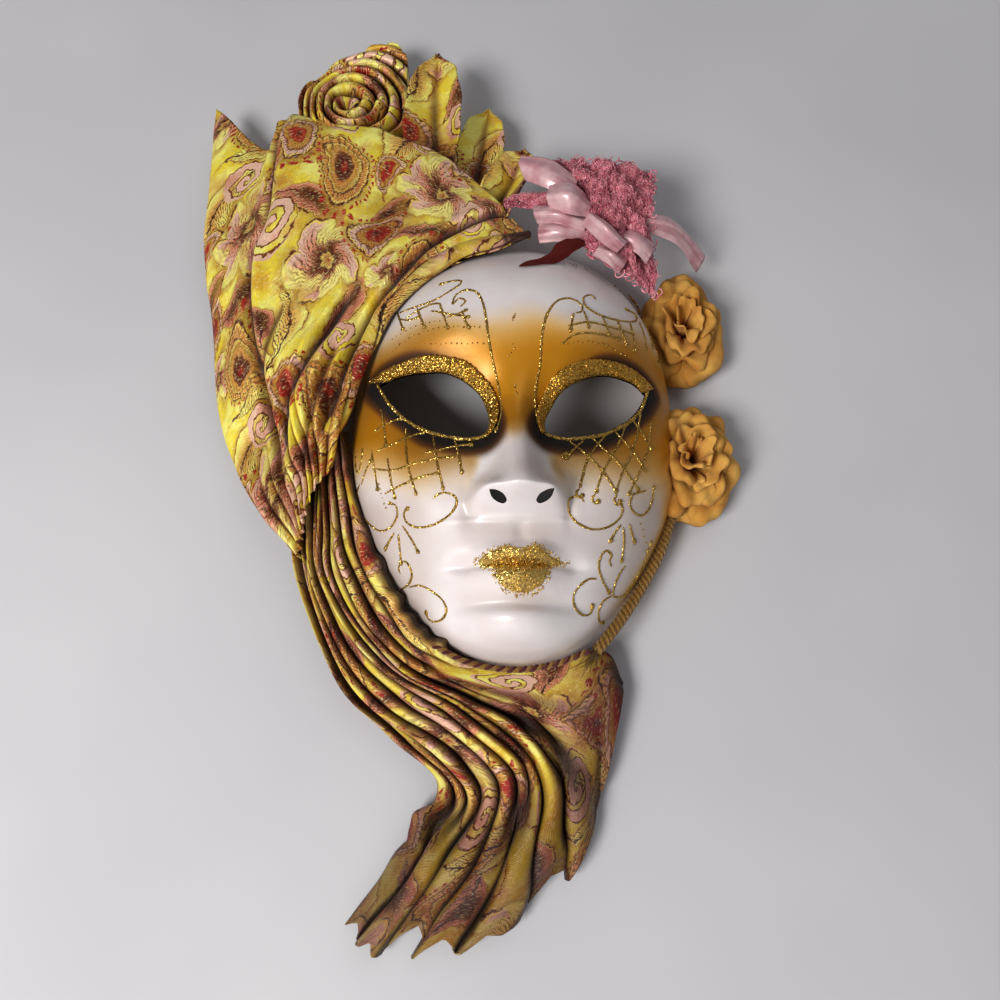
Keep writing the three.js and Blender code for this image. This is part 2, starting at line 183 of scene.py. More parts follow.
def beside(flat: Array, line: Array) -> tuple[Array, Array]:
    """Where points lie beside a line in the plane.

    Args:
        flat: Points, shape (N, 2 or more).
        line: The line's points, close together.

    Returns:
        Distance from the line, positive on the left of one who walks along it, and the share walked, 0 to 1.
    """
    ahead = unit(np.gradient(line, axis=0))
    away = flat[:, None, :2] - line[None]
    nearest = np.argmin((away**2).sum(axis=2), axis=1)
    off = away[np.arange(len(flat)), nearest]
    turn = ahead[nearest, 0] * off[:, 1] - ahead[nearest, 1] * off[:, 0]
    return np.sign(turn) * np.linalg.norm(off, axis=1), nearest / (len(line) - 1)


@dataclass(frozen=True)
class Loft:
    """A smooth surface through guide curves, each running along the cloth."""

    guides: tuple[tuple[Point, ...], ...]

    def at(self, along: Array, across: Array) -> Array:
        """The surface's points at places 0 to 1 along and across it."""
        rows = np.stack([spline(guide, along) for guide in self.guides])
        held, gap, share = stretch(rows, across)
        n = np.arange(len(along))
        return sweep(*(held[gap + k, n] for k in range(4)), share[:, None])

    def normal(self, along: Array, across: Array, reach: float = 0.02) -> Array:
        """The surface's upward unit normals there."""
        low, high = np.maximum(along - reach, 0), np.minimum(along + reach, 1)
        lengthwise = self.at(high, across) - self.at(low, across)
        low, high = np.maximum(across - reach, 0), np.minimum(across + reach, 1)
        crosswise = self.at(along, high) - self.at(along, low)
        out = np.cross(crosswise, lengthwise)
        return unit(out * np.where(out[:, 2:] < 0, -1, 1))


# Meshes


def to_row(points: Array) -> Array:
    """Millimetres in the face frame to metres in the part's frame."""
    return np.asarray(points, float) * MM + FACE_ORIGIN


def to_face(points: Array) -> Array:
    """Metres in the part's frame to millimetres in the face frame."""
    return (np.asarray(points, float) - FACE_ORIGIN) / MM


def deselect() -> None:
    """Leaves nothing selected."""
    if bpy.context.object and bpy.context.object.mode != "OBJECT":
        bpy.ops.object.mode_set(mode="OBJECT")
    bpy.ops.object.select_all(action="DESELECT")


def choose(piece: Piece) -> Piece:
    """Selects one piece alone and makes it active."""
    deselect()
    piece.select_set(True)
    bpy.context.view_layer.objects.active = piece
    return piece


def corners(piece: Piece) -> Array:
    """A piece's vertices as an array, in metres."""
    held = np.empty(len(piece.data.vertices) * 3)
    piece.data.vertices.foreach_get("co", held)
    return held.reshape(-1, 3)


def move_corners(piece: Piece, points: Array) -> None:
    """Sets a piece's vertices, in metres."""
    piece.data.vertices.foreach_set("co", np.asarray(points, float).ravel())
    piece.data.update()


def paint(piece: Piece, name: str, values: Array) -> None:
    """Stores one number for each vertex under a name that materials read."""
    held = piece.data.attributes.get(name) or piece.data.attributes.new(name, "FLOAT", "POINT")
    held.data.foreach_set("value", np.asarray(values, np.float32).ravel())


def map_cloth(piece: Piece, per_corner: Array) -> None:
    """Gives a piece its UV map from two lengths in mm for each vertex."""
    layer = piece.data.uv_layers.active or piece.data.uv_layers.new(name="cloth")
    order = np.empty(len(piece.data.loops), np.int32)
    piece.data.loops.foreach_get("vertex_index", order)
    layer.data.foreach_set("uv", (per_corner[order] * CLOTH_UV).astype(np.float32).ravel())


def edit(piece: Piece, *steps: Callable[[], object]) -> Piece:
    """Runs edit-mode operators on all of a piece."""
    choose(piece)
    bpy.ops.object.mode_set(mode="EDIT")
    bpy.ops.mesh.select_all(action="SELECT")
    for step in steps:
        step()
    bpy.ops.object.mode_set(mode="OBJECT")
    return piece


def weld(piece: Piece) -> Piece:
    """Merges vertices that lie together and turns the closed form's faces outwards."""
    return edit(
        piece,
        lambda: bpy.ops.mesh.remove_doubles(threshold=WELD_GAP),
        lambda: bpy.ops.mesh.dissolve_degenerate(threshold=WELD_GAP / 10),
        lambda: bpy.ops.mesh.normals_make_consistent(inside=False),
    )


def face_up(piece: Piece) -> Piece:
    """Turns an open sheet over if more of it looks down than up."""
    up = np.empty(len(piece.data.polygons) * 3)
    piece.data.polygons.foreach_get("normal", up)
    if up.reshape(-1, 3)[:, 2].sum() < 0:
        edit(piece, bpy.ops.mesh.flip_normals)
    return piece


def close_seam(piece: Piece) -> Piece:
    """Merges a round sheet's seam and middle, and turns the sheet face up."""
    edit(piece, lambda: bpy.ops.mesh.remove_doubles(threshold=SEAM_GAP))
    return face_up(piece)


def apply(piece: Piece, kind: str, **settings: object) -> Piece:
    """Adds one modifier to a piece and applies it."""
    choose(piece)
    made = piece.modifiers.new(kind.title(), kind)
    for key, value in settings.items():
        setattr(made, key, value)
    bpy.ops.object.modifier_apply(modifier=made.name)
    return piece


def soften(piece: Piece, degrees: float | None = None) -> Piece:
    """Shades a piece smooth, keeping edges sharper than degrees if given."""
    choose(piece)
    if degrees is None:
        bpy.ops.object.shade_smooth()
    else:
        bpy.ops.object.shade_smooth_by_angle(angle=math.radians(degrees))
    return piece


def dress(piece: Piece, *materials: bpy.types.Material) -> Piece:
    """Gives a piece its materials, in order."""
    piece.data.materials.clear()
    for material in materials:
        piece.data.materials.append(material)
    return piece


def unrolled(points: Array, crosswise: int) -> Array:
    """Both lengths in mm over a grid of points: across from its middle column, along from its first row."""
    rows = points.reshape(-1, crosswise + 1, 3)
    across = np.cumsum(np.linalg.norm(np.diff(rows, axis=1, prepend=rows[:, :1]), axis=2), axis=1)
    along = np.cumsum(np.linalg.norm(np.diff(rows, axis=0, prepend=rows[:1]), axis=2), axis=0)
    return np.stack([across - across[:, [crosswise // 2]], along], 2).reshape(-1, 2)


def woven_grid(
    name: str, crosswise: int, lengthwise: int, place: Callable[[Array, Array], tuple[Array, ...]]
) -> Piece:
    """Makes a sheet from a flat grid whose corners are moved into place.

    Args:
        name: The piece's name.
        crosswise: Steps across the sheet.
        lengthwise: Steps along the sheet.
        place: Takes places 0 to 1 across and along; returns points in mm, the cloth's lengths in mm there or
            None to measure them, and on folded cloth how deep in a crease each point lies, 0 to 1.

    Returns:
        The open sheet.
    """
    deselect()
    bpy.ops.mesh.primitive_grid_add(x_subdivisions=crosswise, y_subdivisions=lengthwise, size=2)
    piece = bpy.context.object
    piece.name = piece.data.name = name
    flat = corners(piece)
    points, lengths, *crease = place((flat[:, 0] + 1) / 2, (flat[:, 1] + 1) / 2)
    map_cloth(piece, unrolled(points, crosswise) if lengths is None else lengths)
    # the third value is stored as crease, which the cloth materials turn into painted shade
    if crease:
        paint(piece, "crease", crease[0])
    move_corners(piece, to_row(points))
    return piece


def frames(path: Array) -> tuple[Array, Array]:
    """Level sideways and upward unit vectors along a path."""
    ahead = unit(np.gradient(path, axis=0))
    side = unit(np.cross(ahead, [0.0, 0.0, 1.0]))
    return side, np.cross(side, ahead)


def tube(
    name: str, path: Array, radius: Callable[[Array, Array], Array], sides: int = 8, flat: float = 1.0,
    girth: float = 6.0
) -> Piece:
    """Makes a closed round or flattened cord along a path.

    Args:
        name: The piece's name.
        path: The middle line, in mm.
        radius: Takes each corner's place along, 0 to 1, and angle; returns its distance from the line in mm.
        sides: Corners around the cord.
        flat: Height divided by width.
        girth: Length of cloth round it, in mm.

    Returns:
        The closed cord.
    """
    count = len(path)
    side, rise = frames(path)
    walked = walk(path)

    def place(across: Array, along: Array) -> tuple[Array, Array]:
        """Puts the grid's corners round the line."""
        step = np.rint(along * (count - 1)).astype(int)
        angle = across * TURN
        from_end = np.minimum(step, count - 1 - step)
        ends = np.sqrt(np.clip(1 - (1 - from_end / 1.5) ** 2, 0, 1))
        ends = np.where(from_end >= 2, 1.0, ends)
        out = (radius(along, angle) * ends)[:, None]
        round_ = np.cos(angle)[:, None] * side[step] + np.sin(angle)[:, None] * rise[step] * flat
        return path[step] + out * round_, np.stack([across * girth, walked[step]], 1)

    return weld(woven_grid(name, sides, count - 1, place))


def join(name: str, parts: list[Piece]) -> Piece:
    """Joins several meshes into one piece."""
    deselect()
    for part in parts:
        part.select_set(True)
    bpy.context.view_layer.objects.active = parts[0]
    if len(parts) > 1:
        bpy.ops.object.join()
    parts[0].name = parts[0].data.name = name
    return parts[0]


def area_mm2(piece: Piece) -> float:
    """The area of an open sheet's mesh, in square millimetres."""
    held = np.empty(len(piece.data.polygons))
    piece.data.polygons.foreach_get("area", held)
    return float(held.sum()) / MM**2


def declare(
    piece: Piece, flat_area: float, width: float, held: Held, rests_on: tuple[str, ...], **more: object
) -> None:
    """Logs the size a sheet of cloth is cut flat at, from its width in mm and its flat area in mm2; its
    length follows.
    """
    length = flat_area / width
    width * MM
    length * MM
    log.info("  %s is cut flat from %.0f x %.0f mm", piece.name, width, length)


def settle(piece: Piece, slot: Slot | None, *nodes: str) -> Piece:
    """Lets a finished piece ride on the part's body and stand for its CAD nodes."""
    at = corners(piece)
    at[:, 2] = np.maximum(at[:, 2], 0.0)
    move_corners(piece, at)
    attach(piece, "root")
    if nodes:
        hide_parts(*nodes)
    return piece


# Node graphs


def ink(red: float, green: float, blue: float) -> Colour:
    """A screen colour, 0 to 255 a channel, as the linear colour that shaders take."""
    shares = (((v / 255 + 0.055) / 1.055) ** 2.4 if v > 10.3 else v / 3294.6 for v in (red, green, blue))
    return (*shares, 1.0)


class Wire:
    """One output in a node graph that takes part in sums like a number."""

    def __init__(self, graph: "Graph", socket: bpy.types.NodeSocket) -> None:
        """Keeps the graph and the socket."""
        self.graph, self.socket = graph, socket

    def __add__(self, other: "Wire | float") -> "Wire":
        """Sum."""
        return self.graph.math("ADD", self, other)

    def __radd__(self, other: float) -> "Wire":
        """Sum."""
        return self.graph.math("ADD", other, self)

    def __sub__(self, other: "Wire | float") -> "Wire":
        """Difference."""
        return self.graph.math("SUBTRACT", self, other)

    def __rsub__(self, other: float) -> "Wire":
        """Difference."""
        return self.graph.math("SUBTRACT", other, self)

    def __mul__(self, other: "Wire | float") -> "Wire":
        """Product."""
        return self.graph.math("MULTIPLY", self, other)

    def __rmul__(self, other: float) -> "Wire":
        """Product."""
        return self.graph.math("MULTIPLY", other, self)

    def __truediv__(self, other: "Wire | float") -> "Wire":
        """Quotient."""
        return self.graph.math("DIVIDE", self, other)


class Graph:
    """A material under construction."""

    def __init__(self, name: str) -> None:
        """Starts an empty material."""
        self.material = bpy.data.materials.new(name)
        self.material.use_nodes = True
        self.tree = self.material.node_tree
        self.tree.nodes.clear()

    def node(self, kind: str, inputs: dict, **settings: object) -> bpy.types.Node:
        """Adds a node, sets it and feeds its inputs with wires or constants."""
        made = self.tree.nodes.new(kind)
        for key, value in settings.items():
            setattr(made, key, value)
        for key, value in inputs.items():
            if isinstance(value, Wire):
                self.tree.links.new(value.socket, made.inputs[key])
            else:
                made.inputs[key].default_value = value
        return made

    def out(self, kind: str, inputs: dict, part: int | str = 0, **settings: object) -> Wire:
        """Adds a node and taps one of its outputs."""
        return Wire(self, self.node(kind, inputs, **settings).outputs[part])

    def math(self, operation: str, *values: "Wire | float") -> Wire:
        """A number worked out from others."""
        return self.out("ShaderNodeMath", dict(enumerate(values)), operation=operation)

    def size(self, value: Wire) -> Wire:
        """A number without its sign."""
        return self.math("ABSOLUTE", value)

    def sine(self, value: Wire) -> Wire:
        """The sine of a number."""
        return self.math("SINE", value)

    def vector(self, operation: str, *values: "Wire | Point") -> Wire:
        """A vector worked out from others."""
        return self.out("ShaderNodeVectorMath", dict(enumerate(values)), operation=operation)

    def mix(
        self, factor: "Wire | float", first: "Wire | Colour", second: "Wire | Colour", how: str = "MIX"
    ) -> Wire:
        """A colour between two others."""
        inputs = {0: factor, 6: first, 7: second}
        return self.out("ShaderNodeMix", inputs, 2, data_type="RGBA", blend_type=how)

    def step(self, value: Wire, low: float, high: float, to: Spot = (0.0, 1.0)) -> Wire:
        """A soft step as value goes from low to high."""
        inputs = {0: value, 1: low, 2: high, 3: to[0], 4: to[1]}
        return self.out("ShaderNodeMapRange", inputs, interpolation_type="SMOOTHSTEP")

    def ramp(self, value: Wire, stops: list[tuple[float, Colour]]) -> tuple[Wire, Wire]:
        """Colour and alpha read off a row of stops."""
        made = self.node("ShaderNodeValToRGB", {0: value})
        made.color_ramp.interpolation = "LINEAR"
        held = made.color_ramp.elements
        while len(held) < len(stops):
            held.new(0.5)
        for element, (place, colour) in zip(held, stops):
            element.position, element.color = place, colour
        return Wire(self, made.outputs[0]), Wire(self, made.outputs[1])

    def split(self, vector: Wire) -> tuple[Wire, Wire, Wire]:
        """The three parts of a vector."""
        made = self.node("ShaderNodeSeparateXYZ", {0: vector})
        return tuple(Wire(self, out) for out in made.outputs)

    def pack(self, x: "Wire | float", y: "Wire | float", z: "Wire | float" = 0.0) -> Wire:
        """A vector of three parts."""
        return self.out("ShaderNodeCombineXYZ", {0: x, 1: y, 2: z})

    def noise(self, vector: Wire, scale: float, detail: float = 2.0, part: int = 0) -> Wire:
        """Cloudy noise; part 1 is its colour."""
        return self.out("ShaderNodeTexNoise", {"Vector": vector, "Scale": scale, "Detail": detail}, part)

    def cells(self, vector: Wire, scale: float) -> Wire:
        """A chance colour for each cell of a foam."""
        return self.out("ShaderNodeTexVoronoi", {"Vector": vector, "Scale": scale}, "Color")

    def spot(self) -> Wire:
        """The place on the object, in mm."""
        return self.vector("MULTIPLY", self.out("ShaderNodeTexCoord", {}, "Object"), (1000.0,) * 3)

    def cloth(self) -> tuple[Wire, Wire]:
        """The two lengths on the cloth, in mm."""
        place = self.out("ShaderNodeTexCoord", {}, "UV")
        return self.split(self.vector("MULTIPLY", place, (1 / CLOTH_UV,) * 3))[:2]

    def painted(self, name: str) -> Wire:
        """A number painted on the mesh."""
        return self.out("ShaderNodeAttribute", {}, "Fac", attribute_name=name)

    def bump(self, height: Wire, millimetres: float) -> Wire:
        """A normal bent by a height map."""
        inputs = {"Strength": 1.0, "Distance": millimetres * MM, "Height": height}
        return self.out("ShaderNodeBump", inputs)

    def shade(self, **sockets: "Wire | float | Colour") -> bpy.types.Material:
        """Ends the graph in a Principled surface; socket names use _ for spaces."""
        inputs = {key.replace("_", " "): value for key, value in sockets.items()}
        surface = self.node("ShaderNodeBsdfPrincipled", inputs)
        out = self.node("ShaderNodeOutputMaterial", {})
        self.tree.links.new(surface.outputs[0], out.inputs[0])
        return self.material


# Finishes


class Finish:
    """A finish, whose material is made once and shared by the pieces that wear it."""

    name: str

    def graph(self, g: Graph) -> bpy.types.Material:
        """Builds the node graph."""
        raise NotImplementedError

    def material(self) -> bpy.types.Material:
        """The finish's one material."""
        return bpy.data.materials.get(self.name) or self.graph(Graph(self.name))


@dataclass(frozen=True)
class PearlPaint(Finish):
    """Pearly white lacquer with airbrushed gold and soot, and painted shade, read off the attributes of those
    names.
    """

    name: str = "pearl_paint"
    pearl: Colour = ink(230, 224, 224)
    blush: Colour = ink(219, 209, 208)
    painted_shade_tint: Colour = ink(168, 146, 128)
    gold: Colour = ink(200, 138, 16)
    pale_gold: Colour = ink(226, 188, 108)
    amber: Colour = ink(104, 60, 10)
    soot: Colour = ink(20, 10, 5)

    def graph(self, g: Graph) -> bpy.types.Material:
        """Builds the node graph."""
        place = g.spot()
        cloud = g.noise(place, 0.03, 3)
        spray = g.noise(place, 1.6, 2)
        gold = g.painted("gold") + (spray - 0.5) * 0.14
        soot = g.painted("soot") + (spray - 0.5) * 0.1
        base = g.mix(g.step(cloud, 0.35, 0.65), self.pearl, self.blush)
        # painted shade: a darker tint wherever the shade attribute is painted
        base = g.mix(g.painted("shade"), base, self.painted_shade_tint)
        colour = g.mix(g.step(gold, 0.0, 0.62) * 0.9, base, self.pale_gold)
        colour = g.mix(g.step(gold, 0.2, 0.85), colour, self.gold)
        metal = g.step(gold, 0.1, 0.9) * g.step(soot, 0.6, 0.1)
        burnt = g.mix(g.step(gold, 0.1, 0.6), ink(98, 62, 34), self.amber)
        colour = g.mix(g.step(soot, 0.0, 0.5), colour, burnt)
        colour = g.mix(g.step(soot, 0.2, 0.8), colour, self.soot)
        relief = g.noise(place, 0.16, 2) * 0.7 + g.noise(place, 2.2, 2) * 0.05
        return g.shade(
            Base_Color=colour,
            Metallic=metal * 0.3,
            Roughness=0.4 + g.step(soot, 0.0, 0.6) * 0.3,
            Specular_IOR_Level=0.5,
            Coat_Weight=g.step(soot, 0.5, 0.0) * 0.4,
            Coat_Roughness=0.3,
            Normal=g.bump(relief, 0.2),
        )


@dataclass(frozen=True)
class BlackLining(Finish):
    """The dull black inside of the shell."""

    name: str = "black_lining"
    colour: Colour = ink(3, 3, 4)

    def graph(self, g: Graph) -> bpy.types.Material:
        """Builds the node graph."""
        place = g.spot()
        cloud = g.noise(place, 0.12, 4)
        colour = g.mix(g.step(cloud, 0.3, 0.7), self.colour, ink(6, 6, 8))
        rough = g.step(cloud, 0.2, 0.8, (0.6, 0.85))
        return g.shade(Base_Color=colour, Roughness=rough, Specular_IOR_Level=0.06, Normal=g.bump(cloud, 0.4))


@dataclass(frozen=True)
class Glitter(Finish):
    """Loose metal flakes in clear glue; each flake turns its own way."""

    name: str = "gold_glitter"
    flake: float = 0.4
    dark: Colour = ink(98, 62, 16)
    gold: Colour = ink(198, 146, 54)
    bright: Colour = ink(240, 202, 116)

    def graph(self, g: Graph) -> bpy.types.Material:
        """Builds the node graph."""
        place = g.spot()
        chance = g.cells(place, 1 / self.flake)
        red, green, _ = g.split(chance)
        colour, _ = g.ramp(red, [(0.0, self.dark), (0.4, self.gold), (0.95, self.bright)])
        tilt = g.vector("SUBTRACT", chance, (0.5, 0.5, 0.5))
        normal = g.out("ShaderNodeNewGeometry", {}, "Normal")
        turned = g.vector("NORMALIZE", g.vector("ADD", normal, g.vector("MULTIPLY", tilt, (1.3, 1.3, 1.3))))
        rough = g.step(green, 0.0, 1.0, (0.18, 0.42))
        return g.shade(Base_Color=colour, Metallic=0.85, Roughness=rough, Normal=turned)


@dataclass(frozen=True)
class Brocade(Finish):
    """Yellow satin ground woven with leaves, palmettes, paisleys and scrolls in maroon, rose and gold."""

    name: str = "brocade_cloth"
    tile: Spot = (108.0, 130.0)
    yellow: Colour = ink(238, 216, 60)
    straw: Colour = ink(250, 244, 132)
    ochre: Colour = ink(194, 150, 54)
    maroon: Colour = ink(78, 16, 8)
    brown: Colour = ink(120, 58, 20)
    tan: Colour = ink(220, 156, 76)
    gold: Colour = ink(250, 214, 112)
    rose: Colour = ink(224, 146, 116)
    lilac: Colour = ink(236, 192, 172)
    red: Colour = ink(176, 34, 20)

    def local(self, g: Graph, x: Wire, y: Wire, centre: Spot, turn: float, size: float) -> tuple[Wire, Wire]:
        """Coordinates round one motif of the repeated tile, in the motif's own size."""
        half_w, half_h = self.tile[0] / 2, self.tile[1] / 2
        dx = g.math("WRAP", x - centre[0], half_w, -half_w)
        dy = g.math("WRAP", y - centre[1], half_h, -half_h)
        c, s = math.cos(turn) / size, math.sin(turn) / size
        return dx * c + dy * s, dy * c - dx * s

    def drop(self, g: Graph, x: Wire, y: Wire, waist: float, bend: float) -> Wire:
        """Nested bent teardrops: 0 in the middle, 1 on the outline."""
        leaning = x + y * y * bend
        narrow = g.math("MAXIMUM", (1.0 - y) * (0.5 * waist * waist), 0.012)
        return g.math("SQRT", leaning * leaning / narrow + y * y)

    def leaf(self, g: Graph, x: Wire, y: Wire, waist: float, bend: float) -> tuple[Wire, Wire]:
        """Nested pointed leaves round a curved rib, and the signed distance from the rib."""
        rib = x + y * y * bend + y * 0.08
        narrow = g.math("MAXIMUM", (1.0 - y * y) * waist, 0.03)
        return g.math("MAXIMUM", g.size(rib) / narrow, g.size(y)), rib

    def lobes(self, g: Graph, x: Wire, y: Wire, petals: int) -> tuple[Wire, Wire]:
        """Nested scalloped rings of a palmette, and the angle."""
        away = g.math("SQRT", x * x + y * y)
        angle = g.math("ARCTAN2", y, x) + away * 0.9
        lobe = g.math("POWER", g.size(g.math("COSINE", angle * (petals / 2))), 0.6)
        return away / (lobe * 0.4 + 0.6), angle

    def lines(self, g: Graph, value: Wire, every: float, low: float = 0.1) -> Wire:
        """Fine threads wherever value passes a multiple of every."""
        return g.step(g.sine(value * (TURN / every)), low, low + 0.6)

    def lay(self, g: Graph, under: Wire, form: Wire, stops: list[tuple[float, Colour]], inked: Wire) -> Wire:
        """Lays one motif over the cloth, coloured by its rings and crossed by its fine threads."""
        colour, seen = g.ramp(form / 1.5, stops)
        return g.mix(seen, under, g.mix(inked * g.step(form, 1.0, 0.93), colour, self.maroon))

    def tone_and_shade(self, g: Graph, share: Wire, colour: Wire, tint: Colour) -> Wire:
        """Darkens a colour by a tint: random patches of tone, and painted shade in the creases."""
        return g.mix(share, colour, g.mix(1.0, colour, tint, "MULTIPLY"))

    def rings(self, *stops: tuple[float, Colour]) -> list[tuple[float, Colour]]:
        """A motif's colours from its middle outwards, closed by gold, a dark thread and a fading rim."""
        edge = [
            (0.57, stops[-1][1]), (0.585, self.gold), (0.61, self.gold), (0.62, self.maroon),
            (0.645, self.brown)
        ]
        return [*stops, *edge, (0.66, self.ochre[:3] + (0.8,)), (0.84, self.ochre[:3] + (0.0,))]

    def graph(self, g: Graph) -> bpy.types.Material:
        """Builds the node graph."""
        u, v = g.cloth()
        flat = g.pack(u, v)
        drift_x, drift_y, _ = g.split(g.noise(flat, 0.024, 1, part=1))
        shake_x, shake_y, _ = g.split(g.noise(flat, 0.22, 2, part=1))
        x = u * 0.86 + (drift_x - 0.5) * 18 + (shake_x - 0.5) * 4
        y = v * 0.86 + (drift_y - 0.5) * 18 + (shake_y - 0.5) * 4
        thread = g.noise(g.pack(u * 0.35, v * 2.2), 1.0, 2)
        patch = g.noise(flat, 0.06, 2)
        mottle = g.noise(flat, 0.5, 2)
        broken = g.step(g.noise(flat, 0.5, 1), 0.34, 0.5)
        colour = g.mix(g.step(patch + (thread - 0.5) * 0.3, 0.4, 0.62), self.yellow, self.straw)
        flower = self.rings(
            (0.0, self.red), (0.07, self.gold), (0.11, self.maroon), (0.17, self.brown), (0.3, self.rose),
            (0.5, self.lilac)
        )
        paisley = self.rings(
            (0.0, self.red), (0.13, self.maroon), (0.22, self.brown), (0.27, self.tan), (0.36, self.ochre),
            (0.42, self.gold), (0.45, self.maroon), (0.48, self.tan),
        )
        heart = self.rings(
            (0.0, self.maroon), (0.16, self.red), (0.26, self.red), (0.31, self.ochre), (0.4, self.tan),
            (0.46, self.brown), (0.5, self.lilac)
        )

        for centre, turn, size, light in (
            ((17, 14), 0.7, 25, False), ((61, 52), 2.3, 27, True), ((38, 82), -0.5, 23, False),
            ((92, 73), 1.1, 25, True), ((77, 122), -1.2, 22, False), ((7, 88), -0.2, 21, True),
            ((56, 10), 1.9, 19, False), ((98, 98), 0.2, 17, False),
        ):
            lx, ly = self.local(g, x, y, centre, turn, size)
            form, rib = self.leaf(g, lx, ly, 0.36, 0.45)
            veins = (
                self.lines(g, (g.size(rib) * 1.3 - ly) * size, 2.0) * broken
                * g.step(rib, 0.16, 0.0, (0.25, 1.0))
            )
            veins = g.math("MAXIMUM", veins, g.step(g.size(rib) * size, 0.7, 0.35))
            tones = (
                ((0.0, self.tan), (0.3, self.gold), (0.5, self.straw)) if light
                else ((0.0, self.maroon), (0.25, self.brown), (0.45, self.rose))
            )
            colour = self.lay(g, colour, form, self.rings(*tones), veins)
        for centre, turn, size, petals in (
            ((82, 25), 0.3, 25, 7), ((23, 112), 1.4, 22, 5), ((56, 96), 0.9, 13, 5)
        ):
            lx, ly = self.local(g, x, y, centre, turn, size)
            form, angle = self.lobes(g, lx, ly, petals)
            veins = (
                self.lines(g, angle * size * 0.4 + form * 2.0, 1.5) * g.step(form, 0.95, 0.45, (0.15, 0.95))
                * broken
            )
            veins = g.math("MAXIMUM", veins, self.lines(g, form * size, size * 0.3, 0.75) * 0.7)
            colour = self.lay(g, colour, form, flower, veins)
            every_second = (
                g.step(g.sine(angle * (petals / 2) + 0.4), -0.2, 0.2) * g.step(form, 1.0, 0.95)
                * g.step(form, 0.3, 0.5)
            )
            colour = g.mix(every_second * 0.8, colour, g.mix(veins * 0.8, self.straw, self.brown))
        for centre, turn, size, waist, stops in (
            ((30, 36), 0.35, 25, 0.66, paisley), ((78, 88), 3.7, 24, 0.66, paisley),
            ((103, 50), 2.0, 17, 0.9, heart), ((50, 124), 5.1, 16, 0.9, heart),
            ((5, 58), 0.6, 15, 0.9, heart), ((52, 33), 2.6, 11, 0.8, heart),
        ):
            lx, ly = self.local(g, x, y, centre, turn, size)
            form = self.drop(g, lx, ly, waist, 0.42)
            spin = g.math("ARCTAN2", ly + 0.3, lx)
            veins = (
                self.lines(g, spin * size * 0.5 + form * 3.0, 1.6) * g.step(form, 0.3, 0.6, (0.1, 0.7))
                * broken
            )
            colour = self.lay(g, colour, form, stops, veins)
            dots = g.step(g.sine(spin * size * 1.3), -0.1, 0.3) * g.step(g.size(form - 1.14), 0.07, 0.04)
            colour = g.mix(dots, colour, self.red)
        for centre, size in (((104, 8), 13), ((33, 62), 10), ((76, 58), 11)):
            lx, ly = self.local(g, x, y, centre, 0.0, size)
            away = g.math("SQRT", lx * lx + ly * ly)
            arm = g.size(g.math("FRACT", away * 1.7 - g.math("ARCTAN2", ly, lx) / TURN) - 0.5)
            inside = g.step(away, 1.0, 0.96)
            colour = g.mix(g.step(arm, 0.2, 0.26) * inside, colour, self.lilac if size > 9 else self.tan)
            colour = g.mix(g.step(g.size(arm - 0.2), 0.07, 0.04) * inside, colour, self.brown)

        twill = g.sine((u + v) * (TURN / 1.3)) * g.sine((u - v) * (TURN / 1.7))
        weave = twill * 0.5 + (mottle - 0.5) * 2.4
        colour = g.mix(g.step(weave, 0.25, 0.9) * 0.35, colour, self.straw)
        colour = g.mix(g.step(weave, -0.25, -0.9) * 0.38, colour, self.maroon)
        shade = g.noise(flat, 0.05, 3)
        colour = self.tone_and_shade(g, g.step(shade, 0.5, 0.68) * 0.5, colour, ink(206, 118, 84))
        glint = g.step(g.noise(g.pack(u * 0.5, v * 1.5), 0.8, 3), 0.56, 0.65)
        colour = g.mix(glint * 0.6, colour, ink(255, 242, 180))
        # painted shade in the creases: redder, nearly black in the deepest, and less metallic there
        crease = g.painted("crease")
        colour = self.tone_and_shade(g, g.step(crease, 0.0, 0.5) * 0.6, colour, ink(150, 70, 44))
        colour = g.mix(g.step(crease, 0.3, 1.0) * 0.92, colour, ink(34, 9, 3))
        shine = g.step(crease, 0.7, 0.1)
        return g.shade(
            Base_Color=colour,
            Metallic=(glint * 0.4 + 0.14) * shine,
            Roughness=g.step(thread, 0.2, 0.8, (0.34, 0.54)) - glint * 0.1,
            Specular_IOR_Level=0.5,
            Sheen_Weight=0.08,
            Sheen_Roughness=0.4,
            Normal=g.bump(weave * 0.6 + thread * 0.5, 0.22),
        )


@dataclass(frozen=True)
class Satin(Finish):
    """Pale pink pearly satin."""

    name: str = "pink_satin_cloth"
    light: Colour = ink(222, 186, 189)
    deep: Colour = ink(196, 144, 152)

    def graph(self, g: Graph) -> bpy.types.Material:
        """Builds the node graph."""
        u, v = g.cloth()
        place = g.spot()
        streak = g.noise(g.pack(u * 3.0, v * 0.25), 0.8, 2)
        cloud = g.noise(place, 0.12, 2)
        colour = g.mix(g.step(cloud, 0.3, 0.7), self.light, self.deep)
        colour = g.mix(g.step(streak, 0.5, 0.75) * 0.14, colour, ink(236, 212, 214))
        # painted shade in the hollows of the ripples
        colour = g.mix(g.step(g.painted("crease"), 0.2, 1.0) * 0.4, colour, ink(140, 66, 80))
        return g.shade(
            Base_Color=colour,
            Metallic=0.12,
            Roughness=g.step(streak, 0.2, 0.8, (0.24, 0.42)),
            Coat_Weight=0.22,
            Coat_Roughness=0.22,
            Sheen_Weight=0.12,
            Sheen_Roughness=0.4,
            Normal=g.bump(streak * 0.3 + cloud * 2.0, 0.2),
        )


